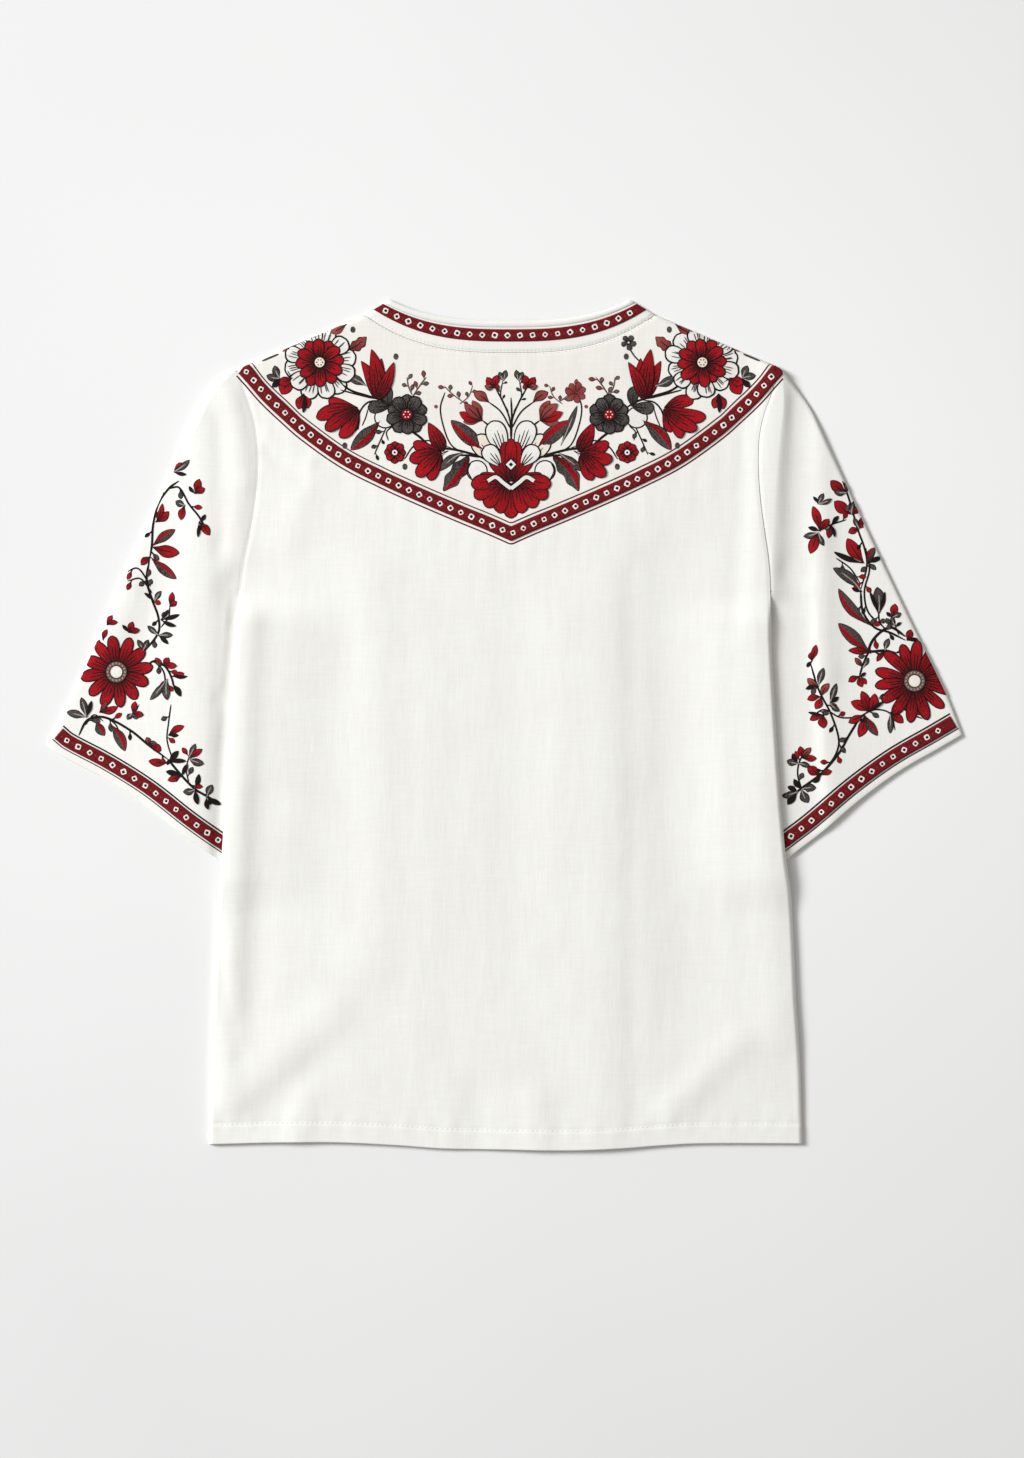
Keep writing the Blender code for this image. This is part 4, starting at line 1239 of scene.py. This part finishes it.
def daisy(place, centre, reach, count, width):
    """The large red flower of a sleeve, with its ringed eye."""
    petals(place, RED, centre, (5, reach), count, width, 8, 2, 0.95, 0.34)
    disc(place, DARK, centre, 9.2, 0.72)
    disc(place, BROWN, centre, 8.1, 0.78)
    ring(place, GREY, centre, 16, 0.3927, 6.7, 0.7, 0.84)
    for colour, radius, rise in ((DARK, 5.3, 0.86), (CREAM, 4.6, 0.92), (WHITE, 3.6, 0.98)):
        disc(place, colour, centre, radius, rise)


# Sprays of leaves and buds on each sleeve: where they spring from, then each tip with its width,
# and its colour where it isn't red.
SLEEVE_SPRAYS = {
    "sleeve_left": (
        (-258, 197, (-252, 204, 4.5), (-246, 206, 4.5, COAL), (-248, 195, 4, DARK)),
        (-241, 180, (-238, 191, 6.5), (-234, 184, 5.5), (-246, 186, 3.5, DARK)),
        (-249, 171, (-252, 160, 6), (-256, 174, 5.5, COAL)),
        (-238, 158, (-230, 148, 6.5), (-233, 164, 4, DARK), (-239, 146, 3.5, DARK)),
        (-272, 158, (-262, 166, 6.5), (-267, 172, 4)),
        (-275, 139, (-257, 152, 8, HALF), (-254, 134, 10.5)),
        (-276, 131, (-256, 114, 8.5, HALF), (-283, 125, 5.5)),
        (-273, 96, (-268, 104, 4, COAL), (-281, 103, 3.6, DARK)),
        (-261, 92, (-259, 103, 4.6), (-256, 96, 4.6)),
        (-268, 82, (-253, 86, 4.6, DARK), (-262, 90, 4, DARK), (-256, 77, 4.4, DARK)),
        (-270, 70, (-259, 70, 4.6, COAL), (-262, 63, 4.4, DARK), (-278, 77, 3.8, COAL)),
        (-282, 58, (-286, 66, 4, COAL), (-278, 66, 4.4, COAL)),
        (-293, 72, (-290, 80, 5), (-298, 78, 3.6, DARK), (-285, 74, 4.5)),
        (-310, 78, (-306, 85, 4.2), (-302, 80, 3.6)),
        (-313, 66, (-310, 74, 4),),
        (-318, 58, (-316, 66, 4.2),),
        (-266, 46, (-272, 52, 4.6), (-262, 52, 5), (-256, 46, 5)),
        (-259, 38, (-250, 40, 5), (-247, 38, 3.6, DARK)),
        (-263, 36, (-268, 28, 5.5, RUST), (-276, 20, 5, COAL), (-263, 20, 6.5, COAL)),
        (-259, 32, (-252, 22, 6, DARK),),
        (-326, 6, (-341, 10, 6.5, COAL), (-330, 21, 5.5, COAL), (-322, 19, 4.5, DARK)),
        (-316, 10, (-302, 14, 6), (-310, 18, 4.5, HALF)),
        (-318, 4, (-312, -8, 8, HALF),),
        (-308, 1, (-296, -20, 9.5, HALF),),
        (-290, 9, (-288, 18, 4.8), (-294, 5, 4, COAL), (-282, 8, 5)),
        (-276, -15, (-268, -20, 6.5), (-279, -10, 4, RUST)),
        (-262, -29, (-277, -28, 6.5), (-254, -20, 6, DARK), (-248, -28, 4.5, DARK)),
        (-262, -8, (-250, -1, 5.5), (-254, -8, 4.2, DARK)),
        (-252, -40, (-264, -36, 6, DARK), (-262, -43, 5), (-247, -30, 4.6, DARK)),
        (-246, -26, (-241, -15, 4.6, COAL), (-236, -19, 4.6), (-235, -30, 6, COAL)),
        (-241, -50, (-238, -38, 5.5, DARK), (-250, -52, 5.5, COAL), (-239, -62, 5.5, DARK)),
        (-232, -56, (-228, -47, 6, COAL), (-221, -62, 5.5, DARK), (-231, -66, 5, DARK)),
    ),
    "sleeve_right": (
        (266, 181, (254, 190, 9), (267, 192, 5, RUST), (257, 181, 5, COAL)),
        (270, 164, (257, 174, 10), (276, 170, 5), (272, 174, 3.6, COAL)),
        (276, 153, (281, 162, 5), (268, 150, 5.5), (272, 161, 3.6, COAL)),
        (245, 151, (240, 170, 7), (252, 160, 6.5), (236, 154, 4.6, DARK)),
        (244, 150, (238, 134, 8.5), (248, 140, 4, COAL), (233, 147, 5, COAL)),
        (254, 156, (252, 146, 5), (260, 163, 4.5, DARK), (257, 146, 3.4, DARK)),
        (244, 172, (248, 180, 4, COAL), (240, 178, 3.2, DARK), (254, 176, 3.2, COAL)),
        (280, 126, (267, 145, 11), (256, 135, 5.5, DARK)),
        (282, 126, (288, 138, 6.5, HALF), (294, 131, 5, DARK)),
        (278, 104, (256, 122, 9, COAL), (270, 107, 4, DARK)),
        (286, 77, (260, 106, 9.5, HALF),),
        (291, 86, (290, 107, 10.5, COAL), (296, 104, 4, DARK), (284, 104, 4, DARK)),
        (302, 84, (304, 94, 6.5), (297, 88, 3.8, DARK), (308, 87, 3.8, COAL)),
        (304, 76, (301, 84, 3.4, COAL), (309, 80, 3.2, DARK)),
        (313, 66, (316, 74, 6), (322, 67, 4, DARK)),
        (285, 56, (260, 79, 11.5, HALF), (268, 58, 5.5)),
        (296, 58, (299, 67, 4.6, COAL), (290, 50, 3.6)),
        (279, 45, (273, 52, 4, RUST), (283, 52, 3.2, COAL)),
        (276, 38, (268, 34, 5), (278, 30, 5), (281, 41, 3.4, DARK)),
        (239, 50, (238, 56, 4.6), (242, 62, 4.6), (235, 45, 3.6, DARK)),
        (244, 30, (248, 44, 5.5, COAL), (236, 36, 5.5, RUST), (234, 28, 4.6, DARK)),
        (246, 22, (236, 20, 5.5), (252, 32, 5.5, RUST), (242, 13, 6)),
        (253, 17, (258, 32, 5, COAL), (260, 22, 4.6, DARK), (260, 11, 4, COAL)),
        (248, 8, (238, 4, 5.5), (248, -2, 7.5), (236, 10, 3.4, DARK)),
        (284, 10, (270, 18, 8.5), (278, 26, 7.5), (288, 24, 7.5), (295, 18, 4, DARK)),
        (280, 8, (276, -9, 8.5), (290, -8, 7, HALF), (268, 2, 6)),
        (300, 9, (310, 2, 7), (300, -6, 4.6, COAL), (307, 14, 5.5)),
        (300, 22, (292, 21, 5, COAL),),
        (232, -26, (230, -17, 5.5), (238, -18, 4.6, RUST), (242, -26, 5)),
        (228, -30, (224, -22, 6, DARK), (220, -28, 5.5, COAL), (237, -32, 4, COAL)),
        (246, -39, (236, -33, 8), (254, -36, 4.6), (240, -45, 4.6, DARK)),
        (231, -50, (242, -49, 6.5, COAL), (236, -60, 7.5, COAL), (225, -42, 5.5, DARK)),
        (228, -52, (220, -48, 5.5, DARK), (220, -62, 7, DARK), (217, -56, 5, COAL)),
    ),
}

# Stems on each sleeve: width, then the points that they run through.
SLEEVE_STEMS = {
    "sleeve_left": (
        (1.4, (-254, 190), (-262, 184), (-270, 172), (-274, 156), (-275, 140), (-277, 128)),
        (1.4, (-277, 128), (-279, 113), (-275, 98), (-270, 84), (-270, 72), (-282, 56)),
        (1.2, (-262, 184), (-254, 185), (-246, 172), (-238, 162), (-232, 151)),
        (1, (-275, 103), (-284, 114), (-294, 112)),
        (1, (-276, 108), (-286, 122), (-297, 118)),
        (0.9, (-261, 92), (-262, 84), (-268, 76)),
        (1.3, (-281, 44), (-273, 50), (-265, 46), (-260, 38), (-257, 27)),
        (1, (-273, 50), (-266, 42), (-264, 30)),
        (1.5, (-332, -8), (-325, 4), (-312, 6), (-292, -4), (-277, -16), (-262, -27)),
        (1.5, (-262, -27), (-252, -39), (-241, -50), (-231, -56), (-222, -62)),
        (0.9, (-327, 0), (-320, 8), (-313, 3)),
        (0.9, (-311, 6), (-303, 0), (-300, -9)),
        (0.9, (-260, 16), (-262, 1), (-263, -12), (-258, -29)),
        (0.8, (-246, -45), (-248, -34), (-245, -22)),
        (0.8, (-294, 4), (-288, 10), (-285, 16)),
    ),
    "sleeve_right": (
        (1.2, (263, 190), (268, 176), (275, 152), (280, 138), (282, 125), (277, 105)),
        (1.4, (277, 105), (279, 88), (288, 76), (300, 72), (312, 66)),
        (1.1, (281, 138), (284, 122), (280, 104), (283, 88), (295, 76)),
        (0.9, (244, 151), (254, 156), (266, 160)),
        (0.9, (258, 130), (269, 122), (277, 110)),
        (1, (291, 88), (292, 80), (297, 74)),
        (0.9, (303, 84), (304, 77), (307, 70)),
        (1.7, (312, 69), (300, 76), (288, 68), (284, 58), (296, 58), (306, 56)),
        (1.2, (284, 58), (280, 50), (276, 38)),
        (1.2, (238, 48), (244, 28), (254, 8), (260, -12), (257, -24), (246, -38)),
        (1, (238, 5), (248, 12), (261, 6), (276, 6)),
        (1, (277, 7), (288, 12), (300, 9), (304, -4)),
        (1.5, (276, 5), (268, -8), (260, -22), (246, -38), (230, -50), (220, -58)),
        (1, (231, -50), (228, -38), (230, -27), (236, -20)),
        (1.2, (304, 22), (314, 10), (325, 5)),
    ),
}

DAISIES = {"sleeve_left": ((-302.6, 41.3), 27, 12, 8), "sleeve_right": ((319, 34.3), 30.5, 14, 7.4)}


def sleeve_embroidery(place):
    for width, *points in SLEEVE_STEMS[place]:
        twig(place, points, 1.25 * width, 8, (COAL, RED, DARK), 16, 0.2)
    for x, y, *leaves in SLEEVE_SPRAYS[place]:
        spray(place, (x, y), leaves, slim=0.82)
    centre, reach, count, width = DAISIES[place]
    daisy(place, centre, reach, count, width)


def diamond(place, colour, centre, radius, rise, turn):
    """A small woven diamond with soft corners."""
    angles = np.linspace(0, 2 * np.pi, 13)
    reach = radius * (1 + 0.13 * np.cos(4 * (angles - turn)))
    around = np.stack([reach * np.cos(angles), reach * np.sin(angles)], axis=1)
    plan = np.concatenate([centre + 0 * around, centre + around])
    tone = np.full(len(plan), 0.6 + chance.uniform(-0.15, 0.15))
    lay(place, colour, plan, grid_faces(2, len(angles)), np.full(len(plan), rise), tone)


def walk(line, first, last, pitch, *shifts):
    """Goes along a line by a pitch, and gives the points at some shifts from each place."""
    far = np.concatenate([[0], np.cumsum(np.linalg.norm(np.diff(line, axis=0), axis=1))])
    for place in np.arange(first, far[-1] - last, pitch):
        yield [np.array([np.interp(place + k, far, column) for column in line.T]) for k in shifts]


def trim_marks(place, line, pitch, rise, size=2.3):
    """White woven diamonds with dark middles along a braid, and small dots between them."""
    for centre, beside in walk(line, pitch * 0.5, pitch * 0.3, pitch, 0, pitch / 2):
        radius = size * chance.uniform(0.86, 1.08)
        turn = chance.uniform(-0.5, 0.5)
        diamond(place, WHITE, centre, radius, rise + 0.1, turn)
        diamond(place, DARK, centre + chance.uniform(-0.2, 0.2, 2), radius * 0.5, rise + 0.2, turn)
        for away in (-2.6, 0, 2.6):
            spot = beside + np.array([0, away])
            diamond(place, DARK if away else RUST, spot, 0.45, rise + 0.1, 0)


def stitch_row(place, line, pitch, length, rise=0.05, width=0.6):
    """Separate stitches along a line."""
    for ends in walk(line, pitch, pitch, pitch, -length / 2, length / 2):
        blade(place, STITCH, *ends, width, edge=0, rise=rise)


def trim_details():
    """Marks and edge lines of the braids, and the rows of stitching."""
    middle_inset = sum(YOKE_TAPE_INSETS) / 2
    trim_marks("yoke", yoke_plan([middle_inset], 400)[0], YOKE_MARK_PITCH, TAPE_LIFT)
    for inset, width in zip(YOKE_LINE_INSETS, (1.1, 0.9)):
        stroke("yoke", MAROON, yoke_plan([inset], 160)[0], width, LINE_LIFT, (1, 1))
    shares = both_sides(np.linspace(0, 1, 90))
    depth = sum(TAPE_DEPTHS) / 2
    neck_line_plan = band_plan([depth], shares * 0.985)[0][0]
    trim_marks("band", neck_line_plan, NECK_MARK_PITCH, NECK_BRAID_LIFT)
    for depth in (1.045, 0.93, 0.245):
        stitch_row("band", band_plan([depth], shares * 0.99)[0][0], 3, 2.2)
    for side in SIGNS:
        place = "sleeve_" + side
        middle_line = cuff_plan(side, [(CUFF_TAPE_FOOT + CUFF_TAPE_TOP) / 2], 120, 0.03, 0.985)[0]
        trim_marks(place, middle_line, CUFF_MARK_PITCH, TAPE_LIFT)
        for inset, width in ((CUFF_TAPE_FOOT - 1.4, 0.8), (CUFF_TAPE_TOP + 1.6, 1.2)):
            edge_line = cuff_plan(side, [inset], 100, 0.02, 1)[0]
            stroke(place, DARK, edge_line, width, LINE_LIFT, (1, 1))
    across = np.linspace(-225, 225, 240)
    stitch_row("yoke", np.stack([across, hem_line(across) + HEM_DEPTH], axis=1), 3.9, 2.5, 0.22, 1.1)


def height_on(place, x, y):
    if place == "yoke":
        return back_height(x, y)
    if place == "band":
        return body_top(x, y)
    return sleeve_height(place.removeprefix("sleeve_"), x, y)


def keep_on(place, plan):
    """Plan points with those past the edge of the cloth brought back to it."""
    if place.startswith("sleeve_"):
        return keep_on_sleeve(place.removeprefix("sleeve_"), plan)
    if place == "yoke":
        kept = plan.copy()
        kept[:, 1] = np.minimum(plan[:, 1], back_top(plan[:, 0]) - THREAD_MARGIN)
        return kept
    return plan


def make_embroidery():
    """One piece for each place and colour, from all the patches laid down."""
    for (place, colour), kept in patches.items():
        starts = np.cumsum([0] + [len(plan) for plan, _, _, _ in kept])
        plan = keep_on(place, np.concatenate([plan for plan, _, _, _ in kept]))
        faces = np.concatenate([faces + start for (_, faces, _, _), start in zip(kept, starts)])
        rise = np.concatenate([rise for _, _, rise, _ in kept])
        tones = np.concatenate([tone for _, _, _, tone in kept])
        along, across = plan[faces[:, 2]] - plan[faces[:, 0]], plan[faces[:, 3]] - plan[faces[:, 1]]
        area = np.abs(along[:, 0] * across[:, 1] - along[:, 1] * across[:, 0]) / 2
        used, faces = np.unique(faces[area > LEAST_FACE], return_inverse=True)
        points = np.column_stack([plan, height_on(place, plan[:, 0], plan[:, 1]) + rise])
        faces = faces.reshape(-1, 4)
        name = place + "_" + colour
        turn_up(add_mesh(name, points[used], faces, threads[colour], tones=tones[used]))


def turn_up(piece):
    """Faces that look down are turned over, so that every patch shows its upper side."""
    mesh = piece.data
    normals = np.zeros(len(mesh.polygons) * 3, np.float32)
    mesh.polygons.foreach_get("normal", normals)
    for polygon, looks_down in zip(mesh.polygons, normals.reshape(-1, 3)[:, 2] < 0):
        if looks_down:
            polygon.flip()


back_cloth, front_cloth = make_body()
sleeves = {side: make_sleeve(side, linen) for side in SIGNS}
for side, sleeve in sleeves.items():
    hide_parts("sleeve_" + side)
allowances = {side: make_allowance(side) for side in SIGNS}
neckband, neck_binding, neck_braid, front_bands = make_neck()
yoke_braid = make_yoke_tape()
cuff_braids = {side: make_cuff_tape(side) for side in SIGNS}
for sign in SIGNS.values():
    yoke_side(sign)
yoke_middle()
for place in SLEEVE_SPRAYS:
    sleeve_embroidery(place)
trim_details()
make_embroidery()

for piece in (neckband, neck_binding, *front_bands):
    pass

for front_band in front_bands:
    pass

# The stage, in metres: the floor's half width, how far it lies below the part, the centre of the pool of
# light painted on it and its painted lit and shaded greys, then the camera's place and lens.
FLOOR_REACH = 3.0
FLOOR_DROP = 0.0004
FLOOR_LIT_SPOT = (0.22, 0.1, 0.0)
FLOOR_LIT_GREY = 0.86
FLOOR_SHADED_GREY = 0.75
CAMERA_PLACE = (0.0055, -0.0031, 2.8425)
CAMERA_LENS = 90.0
AIR_COLOUR = (1.0, 0.975, 0.94, 1.0)
AIR_STRENGTH = 0.37


def make_stage():
    """A plain pale floor with a painted pool of light: darker away from one spot, and slightly mottled
    at random.
    """
    mesh = bpy.data.meshes.new("floor")
    corners = [(x * FLOOR_REACH, y * FLOOR_REACH, 0.0) for x, y in ((-1, -1), (1, -1), (1, 1), (-1, 1))]
    mesh.from_pydata(corners, [], [(0, 1, 2, 3)])
    nodes = Nodes("floor", 0.9)
    settings = {"operation": "DISTANCE"}
    # Painted light: the floor is lightest at one spot and darker with distance from it, plus slight
    # random mottling.
    away = nodes.add("ShaderNodeVectorMath", settings, nodes.place, FLOOR_LIT_SPOT).outputs[1]
    uneven = nodes.spread(nodes.noise(2.0), 0.3, 0.7, -0.1, 0.1)
    falloff_and_mottle = nodes.maths("ADD", nodes.spread(away, 0.15, 0.8), uneven)
    lit_and_shaded_grey = nodes.mix(nodes.spread(falloff_and_mottle, 0.0, 1.0), grey(FLOOR_LIT_GREY), grey(FLOOR_SHADED_GREY))
    mesh.materials.append(nodes.finish(lit_and_shaded_grey))
    floor = bpy.data.objects.new("floor", mesh)
    floor.location.z = -FLOOR_DROP
    bpy.context.scene.collection.objects.link(floor)


def make_light(name, place, aim, size, power, colour):
    """A round soft light that looks at a point."""
    light = bpy.data.lights.new(name, "AREA")
    light.shape = "DISK"
    light.size = size
    light.energy = power
    light.color = colour
    lamp = bpy.data.objects.new(name, light)
    lamp.location = place
    direction = np.array(aim) - np.array(place)
    lamp.rotation_euler = Vector(direction).to_track_quat("-Z", "Y").to_euler()
    bpy.context.scene.collection.objects.link(lamp)


def make_camera():
    camera = bpy.data.cameras.new("camera")
    camera.lens = CAMERA_LENS
    camera.sensor_width = 36.0
    view = bpy.data.objects.new("camera", camera)
    view.location = CAMERA_PLACE
    bpy.context.scene.collection.objects.link(view)
    bpy.context.scene.camera = view


make_stage()
make_light("key", (-9.6, 3.9, 6.2), (0.0, 0.0, 0.0), size=4.2, power=1650.0, colour=(0.97, 0.985, 1.0))
make_light("fill", (-1.5, 0.5, 1.7), (-0.1, 0.0, 0.0), size=1.2, power=11.0, colour=(1.0, 1.0, 1.0))
world = bpy.data.worlds.new("studio")
world.use_nodes = True
air = world.node_tree.nodes["Background"].inputs
air["Color"].default_value = AIR_COLOUR
air["Strength"].default_value = AIR_STRENGTH
bpy.context.scene.world = world
bpy.context.scene.view_settings.view_transform = "Standard"
make_camera()
